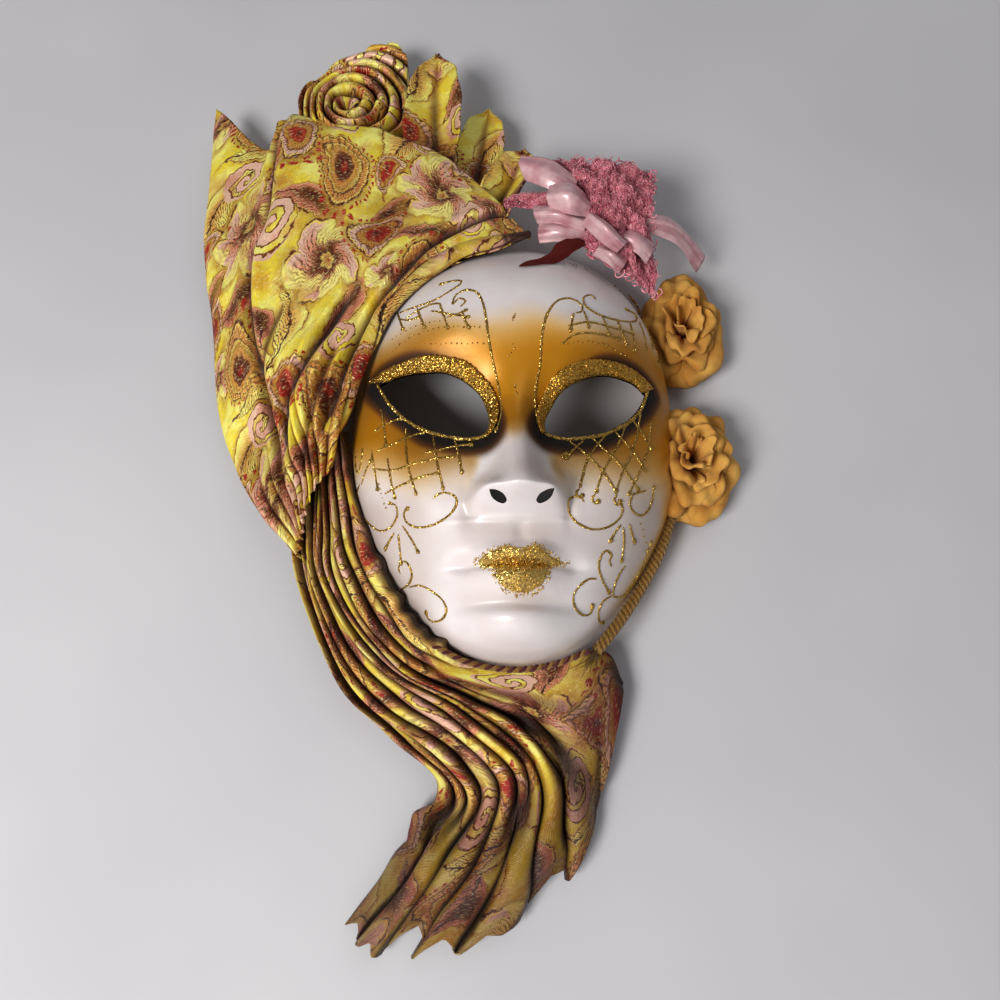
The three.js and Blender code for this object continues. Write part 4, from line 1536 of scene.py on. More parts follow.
    dotted: tuple[tuple[Spot, ...], ...] = (
        ((-60, 40), (-50, 44), (-37, 45), (-28, 44), (-16, 43)), ((-58, 48), (-46, 50), (-34, 49)),
        ((-41, 39), (-28, 37), (-14, 36)), ((22, 36), (30, 38), (40, 39), (52, 37)),
        ((64, 76), (58, 82), (52, 86)), ((-58, -35), (-60, -30), (-62, -24)), ((-1, 46), (0, 49)),
        ((-3, 30), (0, 33), (-1, 35)), ((1, 12), (0, 16)), ((-11, -4), (-9, 1), (-8, 6)), ((12, 1), (11, 7)),
        ((57, -42), (60, -48), (62, -53)),
    )

    def beads(self) -> list[Piece]:
        """Every stroke as its own closed bead."""
        rims = [
            glue_bead("rim", line, self.rim_wide, self.rim_high, 40 + k) for k, line in enumerate(self.rims)
        ]
        for k, line in enumerate(self.strokes):
            rims.append(glue_bead("stroke", line, self.wide, self.high, 60 + k, self.drop))
        return rims

    def build(self) -> Piece:
        """Makes all the drawn glitter as one piece."""
        rows = np.concatenate([even_spline(row, self.dot_gap) for row in self.dotted])
        piece = join("glitter_tracery", self.beads() + grains(rows, self.dot, 17))
        return settle(dress(soften(piece), FINE_GLITTER.material()), None)


# Brocade pieces


@dataclass
class Sash:
    """The pleated sash: rope-like pleats from the tie past the chin, a smooth collar and the spread tail."""

    loft: Loft = Loft((
        ((-103, 12, 15), (-104, -32, 15), (-101, -62, 11), (-84, -106, 9), (-57, -135, 8), (-35, -155, 9),
         (-48, -178, 8), (-74, -212, 5)),
        ((-99, 12, 17), (-99, -34, 19), (-95, -66, 15), (-73, -112, 12), (-42, -135, 12), (-18, -157, 14),
         (-30, -186, 11), (-58, -224, 6)),
        ((-95, 12, 18), (-92, -36, 22), (-88, -67, 19), (-62, -103, 17), (-27, -125, 18), (2, -150, 18),
         (-2, -184, 13), (-20, -220, 6)),
        ((-90, 12, 20), (-85, -36, 24), (-77, -68, 22), (-53, -100, 20), (-22, -116, 19), (12, -134, 16),
         (25, -160, 13), (27, -189, 6)),
        ((-84, 10, 24), (-73, -34, 26), (-59.5, -66, 25.5), (-41, -90.5, 24.5), (-15, -103, 22),
         (16, -102, 20), (41, -96, 16), (51, -110, 11)),
    ))
    pleats: int = 11
    folds: int = 8
    ridge: float = 6.6
    valley: float = 4.3
    cut_width: float = 270.0
    crosswise: int = 200
    lengthwise: int = 240
    cloth: Cloth = Cloth(BROCADE, Slot.BROCADE, 150.0, 0.7, -1.0, Held.GATHERED, "face_shell_dressed")

    def place(self, across: Array, along: Array) -> tuple[Array, Array, Array]:
        """Puts each corner of the cloth on its pleat.

        Args:
            across: Places across, 0 on the outer side.
            along: Places along, 0 at the tie.

        Returns:
            Points in mm, lengths on the cloth in mm, and how dark each point is painted, 0 to 1.
        """
        tail = smooth((along - 0.68) / 0.2)
        collar = (
            smooth((across - 0.76) / 0.07) * smooth((along - 0.40) / 0.16)
            * smooth((0.98 - along * 0.6 - 0.3 * across) / 0.2)
        )
        drift = (
            0.036 * wander(along * 210, across * 60, 120, 21)
            + 0.014 * wander(along * 210, across * 90, 40, 22)
        )
        drift = drift * smooth(across * 12) * smooth((1 - across) * 12)
        height, crease, lean = 0.0, 0.0, 0.0
        for count, share, rise, flat in (
            (self.pleats, 1 - tail, self.ridge, 0.0), (self.folds, tail, self.ridge * 1.7, 0.14)
        ):
            turns = (across + drift) * count
            pleat = np.floor(turns)
            off = turns - pleat - 0.5
            crest = np.clip(1 - (off / 0.37) ** 2, 0, 1) ** 0.6
            strength = 1 + 0.34 * np.sin(pleat * 2.4 + along * 5)
            strength = strength + 0.16 * wander(along * 200, pleat * 31, 50, 23)
            height = height + share * (rise * strength * crest - self.valley)
            side = np.abs(off + 0.05)
            # painted shade in the valleys and on the flanks of the pleats, and on the weaker pleats
            dark = (
                0.5 * smooth((side - 0.05 - flat) / 0.16) + 0.5 * smooth((side - 0.2 - flat) / (0.2 - flat))
            )
            crease = crease + share * dark
            crease = crease + share * 0.25 * smooth(1.1 - strength)
            lean = lean + share * 0.2 * np.sin(TURN * (off + 0.5)) / count
        height = (
            height * (1 - collar) * (1 - 0.45 * smooth((along - 0.84) / 0.16))
            + collar * (1.0 + 1.8 * wander(along * 200, across * 70, 46, 24))
        )
        gorge = 0.0
        for middle, deep in ((0.765, 1.0), (0.87, 0.4)):
            run = smooth((along - 0.36 - 0.16 * (deep < 1)) / 0.1) * smooth((0.94 - along) / 0.3)
            off = across - middle - 0.02 * np.sin(along * 9)
            gorge = np.maximum(gorge, deep * run * np.exp(-((off / 0.026) ** 2)))
        lip = smooth((across - 0.93) / 0.07) * smooth((along - 0.1) / 0.08) * smooth((0.56 - along) / 0.08)
        ruffle = lip * (0.9 + 0.9 * wander(along * 262, along * 0, 13, 27))
        height = height - 5.0 * gorge + 2.4 * ruffle
        shift = np.clip(across - lean * (1 - collar), 0, 1)
        end = smooth((along - 0.9) / 0.1)
        turns = (across + drift) * self.folds
        end = end * (1 - 0.85 * smooth((across - 0.7) / 0.14)) * (0.3 + 0.7 * smooth(across / 0.16))
        notch = (
            0.055 * end * (np.abs(turns - np.floor(turns) - 0.5) * 2 - 0.6)
            + 0.02 * end * np.sin(np.floor(turns) * 2.1)
        )
        reach = np.clip(along + notch, 0, 1)
        points = self.loft.at(reach, shift) + self.loft.normal(reach, shift) * height[:, None]
        points[:, :2] += np.stack([1.7 * ruffle + 1.1 * lip, 1.0 * ruffle + 0.6 * lip], 1)
        steps = (
            tail * smooth((0.2 - across) / 0.2) * smooth((0.94 - along) / 0.1)
            * (np.abs(np.sin(along * 33)) + 1.6 * np.exp(-(((along - 0.79) / 0.025) ** 2)))
        )
        points += steps[:, None] * np.array([-3.6, 1.0, 1.6])
        points[:, 2] = np.maximum(points[:, 2], 0.9)
        # painted shade in the deep gorges and under the ruffle
        crease = np.maximum(crease * (1 - collar), gorge * 1.2) + 0.16 * lip * smooth(0.5 - ruffle)
        # a little darker all over, and the tail much darker, partly for its maroon pattern and partly as
        # painted shade
        crease = crease + 0.12 + 0.5 * tail
        lengths = unrolled(self.loft.at(along, across), self.crosswise)
        lengths[:, 0] = across * self.cut_width
        return points, lengths, np.clip(crease, 0, 1)

    def build(self) -> Piece:
        """Weaves and pleats the sash."""
        piece = face_up(woven_grid("pleated_sash_cloth", self.crosswise, self.lengthwise, self.place))
        return self.cloth.make_up(piece, "pleated_sash")


@dataclass(frozen=True)
class Fold:
    """One fold of the fan: its line in the plane, its step up to the left, its groove and softness, in mm."""

    line: tuple[Spot, ...]
    step: float
    groove: float
    soft: float


@dataclass
class Fan:
    """The upright fan of brocade beside the forehead: broad panels gathered into fine pleats at the tie."""

    loft: Loft = Loft((
        ((-102, -54, 23), (-125, -28, 20), (-147, 9, 15), (-158, 59, 15), (-167, 116, 16), (-168, 209, 20)),
        ((-100, -45, 27), (-115, -10, 25), (-132, 40, 22), (-144, 90, 22), (-146, 134, 22), (-138, 183, 19)),
        ((-98, -34, 30), (-107, 8, 30), (-115, 52, 31), (-119, 100, 31), (-120, 145, 31), (-123, 197, 28)),
        ((-94, -22, 31), (-98, 16, 34), (-98, 56, 38), (-84, 92, 41), (-62, 128, 41), (-38, 159, 36)),
        ((-86, -11, 31), (-80, 19, 35), (-71, 47.5, 39), (-56, 76, 43.5), (-28, 98, 46), (9, 104.5, 45)),
    ))
    crosswise: int = 200
    lengthwise: int = 210
    cloth: Cloth = Cloth(BROCADE, Slot.BROCADE, 190.0, 0.8, -1.0, Held.GATHERED, "face_shell_dressed")
    folds: tuple[Fold, ...] = (
        Fold(((-113, -18), (-115.8, 8.8), (-124.3, 35.4), (-132.7, 63), (-136.2, 85), (-135.7, 108),
              (-130.5, 125), (-129, 150), (-129, 178), (-124, 215)), -5.5, 3.6, 3.4),
        Fold(((-97, -8), (-90.8, 7.6), (-84.7, 22.1), (-81.1, 34.8), (-75.3, 49.9), (-63.6, 70.7),
              (-43, 98.2), (-17.6, 114.8), (14, 124)), 1.2, 3.4, 2.4),
        Fold(((-110.5, -22), (-109.9, -8.3), (-107.3, 15.4), (-104.6, 28.3), (-95.4, 48), (-84, 68),
              (-77, 80)), -1.6, 4.6, 2.6),
        Fold(((-113, -20), (-114.4, -2.3), (-122.8, 23.7), (-122.6, 50.8), (-113.3, 82)), -1.2, 2.6, 3.2),
        Fold(((-101, -20), (-99, 0), (-95, 18), (-90, 36), (-83, 52)), 0.8, 2.8, 1.8),
    )

    def place(self, across: Array, along: Array) -> tuple[Array, None, Array]:
        """Puts each corner of the cloth on the fan.

        Args:
            across: Places across, 0 on the outer side.
            along: Places along, 0 at the tie.

        Returns:
            Points in mm, lengths on the cloth left to be measured, and the painted shade of each point.
        """
        flat = self.loft.at(along, across)
        sway = wander(flat[:, 0], flat[:, 1], 64, 31)
        height = 2.0 * sway * smooth(along * 3) + 0.5 * wander(flat[:, 0], flat[:, 1], 17, 34)
        # painted shade in the broad hollows, along the folds and between the fine pleats at the tie
        crease = 0.3 * smooth(-0.4 - sway * 1.2)
        for fold in self.folds:
            off, share = beside(flat, even_spline(fold.line, 1.5))
            alive = smooth(share * 7) * smooth((1 - share) * 7)
            off = off / fold.soft
            step = fold.step * (smooth(off * 0.5 + 0.5) - 0.5)
            height = height + alive * (step - fold.groove * np.exp(-(off**2)))
            banks = np.exp(-((off - 1.9) ** 2)) + np.exp(-((off + 1.9) ** 2))
            height = height + alive * 0.34 * fold.groove * banks
            below = np.exp(-(((off - 1.3 * np.sign(fold.step)) / 1.6) ** 2))
            dark = np.exp(-((off / 0.8) ** 2)) + 0.35 * below * (np.sign(fold.step) * off < 0)
            crease = np.maximum(crease, alive * dark * min(1.0, fold.groove / 3.6))
        gather = smooth((0.46 - along) / 0.46)
        turns = across * 10 + 0.3 * wander(across * 60, along * 90, 40, 33)
        crest = np.abs(np.sin(np.pi * turns)) ** 0.8
        height = height + gather * 3.4 * (crest - 0.6)
        crease = np.maximum(crease, gather * (1 - smooth(crest * 1.5)) * smooth(along * 9 + 0.3))
        height = height - 1.2 * (smooth((along - 0.965) / 0.035) + smooth((0.03 - across) / 0.03))
        return flat + self.loft.normal(along, across) * height[:, None], None, np.clip(crease, 0, 1)

    def build(self) -> Piece:
        """Weaves and folds the fan."""
        piece = face_up(woven_grid("brocade_fan_cloth", self.crosswise, self.lengthwise, self.place))
        return self.cloth.make_up(piece, "brocade_fan")


@dataclass
class EdgeBand:
    """The rolled band of brocade along the face's edge, from the tie to the satin flower."""

    line: tuple[Point, ...] = (
        (-106, -17, 22), (-98.6, -4.4, 28), (-87.2, 7.2, 32), (-81.8, 17.3, 34), (-78, 29, 37),
        (-73.3, 41.3, 40), (-67.5, 54.3, 42), (-60.4, 67.3, 44), (-44.5, 82.7, 47), (-27, 93.2, 49),
        (-9, 98.3, 50), (9, 105, 49),
    )
    width: float = 8.6
    girth: float = 27.0

    def build(self) -> Piece:
        """Makes the roll, closed, with long slanting creases."""
        path = even_spline(self.line, 0.9)

        def radius(along: Array, angle: Array) -> Array:
            """Half width with creases that wind slowly round the roll."""
            end = 1 - 0.6 * smooth((along - 0.86) / 0.14)
            width = self.width / 2 * (0.62 + 0.38 * smooth(along * 5)) * end
            twist = np.abs(np.sin(angle * 1.0 - along * 8 + 0.7 * wander(along * 190, angle * 5, 60, 41)))
            groove = 0.3 * np.exp(-((twist / 0.22) ** 2))
            return width * (1.05 + 0.1 * wander(along * 190, angle * 0, 45, 42) - groove)

        piece = soften(tube("edge_band_cloth", path, radius, 44, 0.85, self.girth))
        up = np.empty(len(piece.data.vertices) * 3)
        piece.data.vertices.foreach_get("normal", up)
        at = to_face(corners(piece))
        nearest = np.argmin(((at[:, None, :] - path[None, ::4]) ** 2).sum(axis=2), axis=1)
        thin = np.linalg.norm(at - path[::4][nearest], axis=1) / (self.width / 2)
        # a redder tint all along, and painted shade on the underside of the roll and in its creases
        paint(
            piece, "crease",
            np.maximum(0.28 + 0.72 * smooth((0.45 - up[2::3]) / 0.6), 0.9 * smooth((0.94 - thin) / 0.24))
        )
        return settle(dress(piece, BROCADE.material()), Slot.BROCADE, "edge_band")


@dataclass
class Rosette:
    """A strip of brocade wound into a flat rose, its coils crowded on the left and spread on the right."""

    x: float = -88.0
    y: float = 205.0
    radius: float = 33.0
    base: float = 9.0
    crown: float = 24.0
    pitch: float = 6.2
    ridge: float = 7.0
    eye: Spot = (-4.0, -5.0)
    around: int = 260
    rings: int = 84
    cloth: Cloth = Cloth(BROCADE, Slot.BROCADE, 36.0, 0.7, -1.0, Held.FOLDED, "brocade_fan_cloth")

    def place(self, around: Array, outward: Array) -> tuple[Array, Array, Array]:
        """Puts each corner on the coils.

        Args:
            around: Places round the rose, 0 to 1.
            outward: Places from the eye to the skirt, 0 to 1.

        Returns:
            Points in mm, lengths on the cloth in mm, and the painted shade between the coils.
        """
        angle = around * TURN
        turn = np.arctan2(np.sin(angle - 1.2), np.cos(angle - 1.2))
        edge = self.radius + 18 * np.exp(-((turn / 0.42) ** 2)) + 1.5 * np.sin(angle * 7 + 1)
        out = np.minimum(outward / 0.9, 1)
        skirt = smooth((outward - 0.9) / 0.1)
        away = edge * out
        coils = (
            away / self.pitch * (1 - 0.12 * np.cos(angle - 0.3)) - around
            + 0.18 * wander(away, angle * 9, 30, 51)
        )
        phase = coils - np.floor(coils)
        crest = np.clip(1 - (np.abs(phase**0.85 - 0.5) / 0.44) ** 2, 0, 1) ** 0.55
        inner = smooth(out * 5)
        rise = (
            self.crown * (1 - 0.5 * out**2) + self.ridge * (crest - 0.5) * (0.35 + 0.65 * inner)
            - 7 * np.exp(-((away / 5) ** 2))
        )
        x = self.x + self.eye[0] * (1 - out) + away * np.cos(angle)
        y = self.y + self.eye[1] * (1 - out) + away * np.sin(angle)
        z = (self.base + rise - 2) * (1 - skirt) + (self.base + 1.5) * skirt
        lengths = np.stack(
            [np.floor(coils) * 17 + phase * 9 + skirt * 18, around * 150 + np.floor(coils) * 37], 1
        )
        # the third value is painted shade between the coils, more towards the middle
        return np.stack([x, y, z], 1), lengths, (1 - smooth(crest * 1.15)) * (0.4 + 0.6 * inner)

    def build(self) -> Piece:
        """Winds the rose."""
        piece = close_seam(woven_grid("brocade_rosette_cloth", self.around, self.rings, self.place))
        return self.cloth.make_up(piece, "rosette")


@dataclass
class Leaf:
    """One folded leaf of brocade behind the fan."""

    name: str
    node: str
    root: Point
    tip: Point
    width: float
    cup: float
    curl: float = 0.0
    origin: Spot = (0.0, 0.0)
    crosswise: int = 44
    lengthwise: int = 90
    thick: float = 1.1

    def place(self, across: Array, along: Array) -> tuple[Array, Array, Array]:
        """Puts each corner on the cupped leaf with its middle fold; see Sash.place."""
        root, tip = np.array(self.root, float), np.array(self.tip, float)
        length = np.linalg.norm(tip - root)
        side = np.cross(tip - root, [0.0, 0.0, 1.0])
        side /= np.linalg.norm(side)
        half = self.width * (0.34 + 0.66 * np.sin(np.pi * (0.12 + 0.8 * along)) ** 0.9) / 2
        half = half * (1 - 0.9 * smooth((along - 0.86) / 0.14))
        offset = 2 * across - 1
        wave = 0.05 * wander(along * length, offset * 20, 30, 61)
        points = root + (tip - root) * along[:, None] + side * ((offset + wave) * half)[:, None]
        swell = np.sin(np.pi * (0.1 + 0.8 * along))
        fold = np.exp(-((offset / 0.22) ** 2))
        points[:, 2] += self.cup * np.abs(offset) ** 1.6 * swell - 2.2 * fold * swell
        ripple = 0.7 * wander(along * length, offset * 15, 18, 62)
        points[:, 2] += self.curl * np.maximum(0, offset) ** 2 * swell + ripple
        # painted shade along the middle fold and towards the root
        crease = np.clip(fold * 0.7 * swell + 0.6 * smooth(0.75 - along), 0, 1)
        return points, unrolled(points, self.crosswise) + self.origin, crease

    def build(self) -> Piece:
        """Makes the leaf."""
        piece = face_up(woven_grid(self.name, self.crosswise, self.lengthwise, self.place))
        cloth = Cloth(BROCADE, Slot.BROCADE, self.width, self.thick, 0.0, Held.FOLDED, "brocade_fan_cloth")
        return cloth.make_up(piece, self.node)


# Flowers


def draped(
    name: str, loft: Loft, grid: tuple[int, int], ripple: float, pitch: float, seed: int,
    scallops: float = 0.0, run: float = 0.0
) -> Piece:
    """Lays an open sheet on a loft.

    Args:
        name: The sheet's name.
        loft: Where it lies.
        grid: Its steps across and along.
        ripple: Height of its ripples in mm.
        pitch: Distance between them in mm.
        seed: Names the ripples.
        scallops: Share of the size that its wavy edge draws back.
        run: Width in mm over which lengthwise ripples are counted, 0 for ripples that go every way.

    Returns:
        The sheet, with painted shade marked in its hollows.
    """

    def place(across: Array, along: Array) -> tuple[Array, None, Array]:
        """Puts each corner on the loft."""
        wavy = scallops * (0.5 + 0.5 * np.sin(along * 40)), scallops * (0.5 + 0.5 * np.sin(across * 46))
        a, b = 0.5 + (across - 0.5) * (1 - wavy[0]), 0.5 + (along - 0.5) * (1 - wavy[1])
        points = loft.at(b, a)
        x, y = (across * run, along * run * 0.3) if run else (points[:, 0], points[:, 1])
        wave = wander(x, y, pitch, seed) + 0.4 * wander(x, y, pitch / 2.4, seed + 1)
        # the third value marks the hollows of the ripples for painted shade
        return points + loft.normal(b, a) * (ripple * wave)[:, None], None, smooth(-wave - 0.2)

    return face_up(woven_grid(name, *grid, place))


@dataclass
class SatinFlower:
    """The crumpled pink satin bow beside the forehead: flat, folded and rolled ends on guide lines."""

    ends: tuple[Loft, ...] = (
        Loft((((33, 136, 50), (19, 145, 53), (4, 150, 50)), ((31, 128, 54), (18, 135, 56), (3, 144, 51)),
              ((29.5, 124, 50), (17, 128, 53), (6, 137, 48)))),
        Loft((((38, 124, 51), (28, 127, 59), (18, 128, 55)), ((38, 115, 56), (27, 116, 64), (16, 119, 59)),
              ((37, 112, 52), (27.5, 110, 57), (18, 116, 53)))),
        Loft((((36, 114, 49), (22, 117, 53), (10, 121, 49)), ((36, 108, 53), (22, 111, 57), (10, 115, 52)),
              ((35, 105, 48), (23, 108, 52), (12, 112, 47)))),
        Loft((((37, 112, 46), (23, 110, 50), (13, 112, 47)), ((37, 105, 49), (23, 104, 53), (12, 106, 49)),
              ((35, 101, 45), (24, 101, 48), (13, 102, 45)))),
        Loft((((38, 111, 57), (46, 102, 60), (55, 96, 55)), ((36, 106, 63), (44, 96, 65), (53, 91, 59)),
              ((33, 105, 57), (42, 94, 58), (50, 91, 53)))),
        Loft((((43, 100, 49), (49, 94, 52), (56, 91, 47)), ((41, 94, 53), (47, 88, 56), (54, 86, 50)),
              ((39, 94, 47), (46, 87, 50), (52, 85, 44)))),
        Loft((((50, 106, 49), (60, 104, 52), (70, 101, 46)), ((51, 101, 53), (61, 98, 54), (68, 94, 47)),
              ((52, 97, 49), (60, 93, 50), (66, 91, 43)))),
        Loft((((58, 118, 46), (80, 122, 38), (101, 117, 18)), ((58, 114, 49), (82, 115, 41), (102, 110, 20)),
              ((58, 110, 46), (83, 107, 37), (98, 103, 17)))),
    )
    cloth: Cloth = Cloth(Satin(), Slot.SATIN, 20.0, 0.4, 0.0, Held.GATHERED, "face_shell_dressed")

    def build(self) -> Piece:
        """Makes all the ends as one piece."""
        ends = [draped("end", loft, (30, 34), 0.34, 16, 200 + k, run=30) for k, loft in enumerate(self.ends)]
        piece = join("satin_flower_cloth", ends)
        return self.cloth.make_up(piece, "satin_flower")


@dataclass
class Lace:
    """Crumpled crochet lace: a net of tangled threads with loops along its edge, over a thin ground."""

    main: Loft = Loft((
        ((18, 153, 43), (24, 140, 45), (30, 120, 45), (33, 105, 43)),
        ((34, 149, 48), (37, 129, 53), (40, 108, 53), (44, 88, 48)),
        ((51, 149, 47), (51, 126, 56), (54, 103, 54), (60, 84, 40)),
        ((73, 149, 40), (71, 129, 46), (71, 106, 42), (73, 79, 28)),
    ))
    strip: Loft = Loft(
        (((-5, 128.5, 44), (4, 130, 46), (18, 130, 48)), ((-5, 124, 43), (4, 123, 45), (18, 121, 46)))
    )
    loops: int = 76
    width: float = 60.0
    thick: float = 0.25
    thread: float = 0.46
    tangle: float = 0.5

    def edging(self) -> list[Piece]:
        """Small loops of thread round the lace's edge."""
        draw = np.random.default_rng(76)
        turn = np.linspace(0, 0.85 * TURN, 11)
        made = []
        for k in range(self.loops):
            side, share = k % 4, draw.uniform(0, 1)
            a, b = ((share, 0.01), (0.01, share * 0.7), (0.99, share), (share, 0.99))[side]
            centre = self.main.at(np.array([b]), np.array([a]))[0] + draw.normal(0, 1.0, 3)
            size = draw.uniform(1.2, 2.3)
            lean = draw.uniform(-0.8, 0.8)
            path = centre + size * np.column_stack([np.cos(turn + k), np.sin(turn + k), lean * np.sin(turn)])
            made.append(tube("loop", path, lambda along, angle: 0.34 + 0 * along, 5))
        return made

    def build(self) -> list[Piece]:
        """Makes the ground, and the net with its loops."""
        sheets = (
            ("main", self.main, (46, 46), (66, 66), 1.9), ("strip", self.strip, (14, 30), (10, 26), 0.9)
        )
        laid = [draped(n, loft, coarse, ripple, 13, 72, 0.06) for n, loft, coarse, _, ripple in sheets]
        ground = join("lace_ground", laid)
        area = area_mm2(ground)
        apply(ground, "SOLIDIFY", thickness=self.thick * MM, offset=-1.0)
        darker = LaceThread("rose_lace_ground", ink(228, 144, 156), ink(180, 88, 104))
        dress(soften(ground), darker.material())
        settle(ground, Slot.LACE, "lace_frill")
        laid = [draped(n, loft, fine, ripple, 13, 72, 0.06) for n, loft, _, fine, ripple in sheets]
        net = join("lace_net", laid)
        at = corners(net)
        away = np.random.default_rng(75).normal(0, self.tangle * MM, at.shape)
        move_corners(net, at + away + [0, 0, 0.8 * MM])
        apply(net, "WIREFRAME", thickness=self.thread * MM, use_even_offset=False)
        net = join("lace_net", [net, *self.edging()])
        dress(soften(net), LaceThread().material())
        settle(net, Slot.LACE)
        declare(ground, area, self.width, Held.GATHERED, ("satin_flower_cloth",), with_pieces=[net])
        return [ground, net]


@dataclass
class Rose:
    """One peach cloth rose of soft overlapping petals."""

    name: str
    node: str
    x: float
    y: float
    z: float
    radius: float
    height: float
    seed: int
    tall: float
    rings: tuple[tuple[int, float, float], ...] = (
        (3, 0.32, 0.02), (3, 0.58, 0.2), (4, 0.82, 0.5), (5, 1, 0.85)
    )
    thick: float = 0.35
    crosswise: int = 28
    lengthwise: int = 24

    def petal(self, turn: float, reach: float, open_: float, seed: int) -> Piece:
        """One thin cupped petal leaning outwards, folded lengthwise and crimped at its lip."""

        def place(across: Array, along: Array) -> tuple[Array, None, Array]:
            """Puts each corner on the petal."""
            offset = 2 * across - 1
            width = 1.32 * (0.3 + 0.7 * np.sin(np.pi * (0.08 + 0.62 * along)))
            angle = turn + offset * width * (1.15 - 0.35 * reach)
            fold = wander(offset * 9, along * 4, 7.0, seed)
            crimp = wander(offset * 13, along * 9, 7.0, seed + 3) * along**2
            ragged = 1 - 0.12 * np.abs(offset) ** 3 + 0.07 * wander(offset * 6, offset * 0, 4, seed + 5)
            out = self.radius * reach * (0.12 + 0.88 * smooth(along) ** 0.9) * ragged
            out = out + (1.9 * fold + 0.8 * crimp) * along
            up = self.height * (1.05 - 0.55 * open_) * np.sin(np.pi / 2 * along) ** 0.8 * ragged
            lip = -self.height * 0.34 * open_ * along**4 - 0.10 * self.height * along**6
            z = up + lip + 1.5 * crimp - 1.2 * fold * along
            points = np.stack([np.cos(angle) * out, np.sin(angle) * out * self.tall, z], 1)
            # painted shade deep in the rose, towards each petal's foot, and in its folds
            crease = np.maximum((1 - smooth(along * 1.8)) * 0.9, smooth(-fold - 0.2) * 0.7)
            return points + [self.x, self.y, self.z], None, crease

        return woven_grid("petal", self.crosswise, self.lengthwise, place)

    def build(self) -> Piece:
        """Makes the rose as one piece."""
        draw = np.random.default_rng(self.seed)
        made = []
        for number, (count, reach, open_) in enumerate(self.rings):
            first = draw.uniform(0, TURN)
            for k in range(count):
                turn = first + k * TURN / count + draw.uniform(-0.3, 0.3)
                out, lean = reach * draw.uniform(0.88, 1.08), open_ * draw.uniform(0.75, 1.1)
                made.append(self.petal(turn, out, lean, self.seed * 50 + number * 10 + k))
        cloth = Cloth(
            PeachCloth(), Slot.PEACH, self.radius, self.thick, 0.0, Held.GATHERED, "face_shell_dressed"
        )
        return cloth.make_up(join(self.name, made), self.node)


# Cords and feather


@dataclass
class TwistedCord:
    """A cord of strands twisted round each other, glued along the face's edge."""

    name: str
    node: str
    slot: Slot
    line: tuple[Point, ...]
    radius: float
    pitch: float
    threads: tuple[TwistedThread, ...]
    frayed: int = 0

    def strand(self, number: int) -> Piece:
        """One strand."""
        count = len(self.threads)
        middle = even_spline(self.line, 0.7)
        side, rise = frames(middle)
        phase = np.arange(len(middle)) * 0.7 / self.pitch * TURN + TURN * number / count
        own = self.radius * (0.56 if count == 2 else 0.46)
        orbit = self.radius - own
        path = middle + orbit * (np.cos(phase)[:, None] * side + np.sin(phase)[:, None] * rise)
        piece = tube(
            "strand", path, lambda along, angle: own * (1 + 0.06 * np.sin(angle * 7 + along * 300)), 14
        )
        return dress(piece, self.threads[number].material())

    def tuft(self) -> list[Piece]:
        """The loose threads at the cord's lower end."""
        draw = np.random.default_rng(81)
        end = np.array(self.line[-1], float)
        back = end - np.array(self.line[-2], float)
        back /= np.linalg.norm(back)
        made = []
        for k in range(self.frayed):
            spread = draw.normal(0, 0.42, 3)
            tip = end + (back + spread) * draw.uniform(4.0, 9.5)
            tip[2] = max(tip[2], 2.0)
            bend = (end + tip) / 2 + draw.normal(0, 0.8, 3)
            path = even_spline(np.array([end - back * 2 + spread, bend, tip]), 1.2)
            loose = tube("loose", path, lambda along, angle: 0.26 * (1 - 0.6 * along), 5)
            made.append(dress(loose, self.threads[k % len(self.threads)].material()))
        return made

    def build(self) -> Piece:
        """Twists the strands together."""
        piece = join(self.name, [self.strand(k) for k in range(len(self.threads))] + self.tuft())
        return settle(soften(piece), self.slot, self.node)


@dataclass
class Feather:
    """The small dark red feather that slips out from under the satin: a soft vane and a few loose wisps."""

    vane: Loft = Loft((
        ((30, 104, 48), (21, 97.5, 51), (17.5, 91, 53), (12, 86.6, 55), (6.8, 84.6, 56), (2.4, 79.8, 59)),
        ((33, 102, 48), (25, 95, 51), (19.5, 88.5, 53), (13, 84.6, 55), (7, 82.2, 56.5), (2.4, 79.4, 59)),
        ((37, 100, 48), (29, 92.5, 51), (22, 86, 53), (14, 82.6, 55), (7.5, 80.2, 57), (2.4, 79, 59)),
    ))
    wisps: int = 6

    def build(self) -> Piece:
        """Makes the feather as one piece, close over the forehead."""
        vane = draped("vane", self.vane, (14, 60), 0.25, 5, 91)
        at = to_face(corners(vane))
        at[:, 2] = np.maximum(at[:, 2], FACE.height(at[:, 0], at[:, 1]) + 0.9)
        move_corners(vane, to_row(at))
        apply(vane, "SOLIDIFY", thickness=0.3 * MM, offset=1.0)
        draw = np.random.default_rng(92)
        made = [vane]
        for k in range(self.wisps):
            root = np.array([draw.uniform(24, 36), draw.uniform(89, 94)])
            way = np.array([draw.uniform(-3, 3), draw.uniform(-7, -4)])
            middle = root + way * 0.5 + draw.uniform(-0.3, 0.3, 2)
            path = FACE.lift(even_spline(np.array([root, middle, root + way]), 0.9), 0.6)
            made.append(tube("wisp", path, lambda along, angle: 0.13 * (1 - 0.6 * along), 4))
        return settle(dress(soften(join("feather_vane", made)), Plume().material()), Slot.FEATHER, "feather")


# The studio


@dataclass(frozen=True)
class Lamp:
    """One square soft lamp, in metres of the part's frame and watts."""

    name: str
    at: Point
    aim: Point
    size: float
    watts: float
    colour: Point

    def build(self) -> None:
        """Hangs the lamp."""
        deselect()
        bpy.ops.object.light_add(type="AREA", location=self.at)
        lamp = bpy.context.object
        lamp.name = self.name
        lamp.data.size, lamp.data.energy, lamp.data.color = self.size, self.watts, self.colour
        lamp.rotation_euler = (Vector(self.aim) - Vector(self.at)).to_track_quat("-Z", "Y").to_euler()


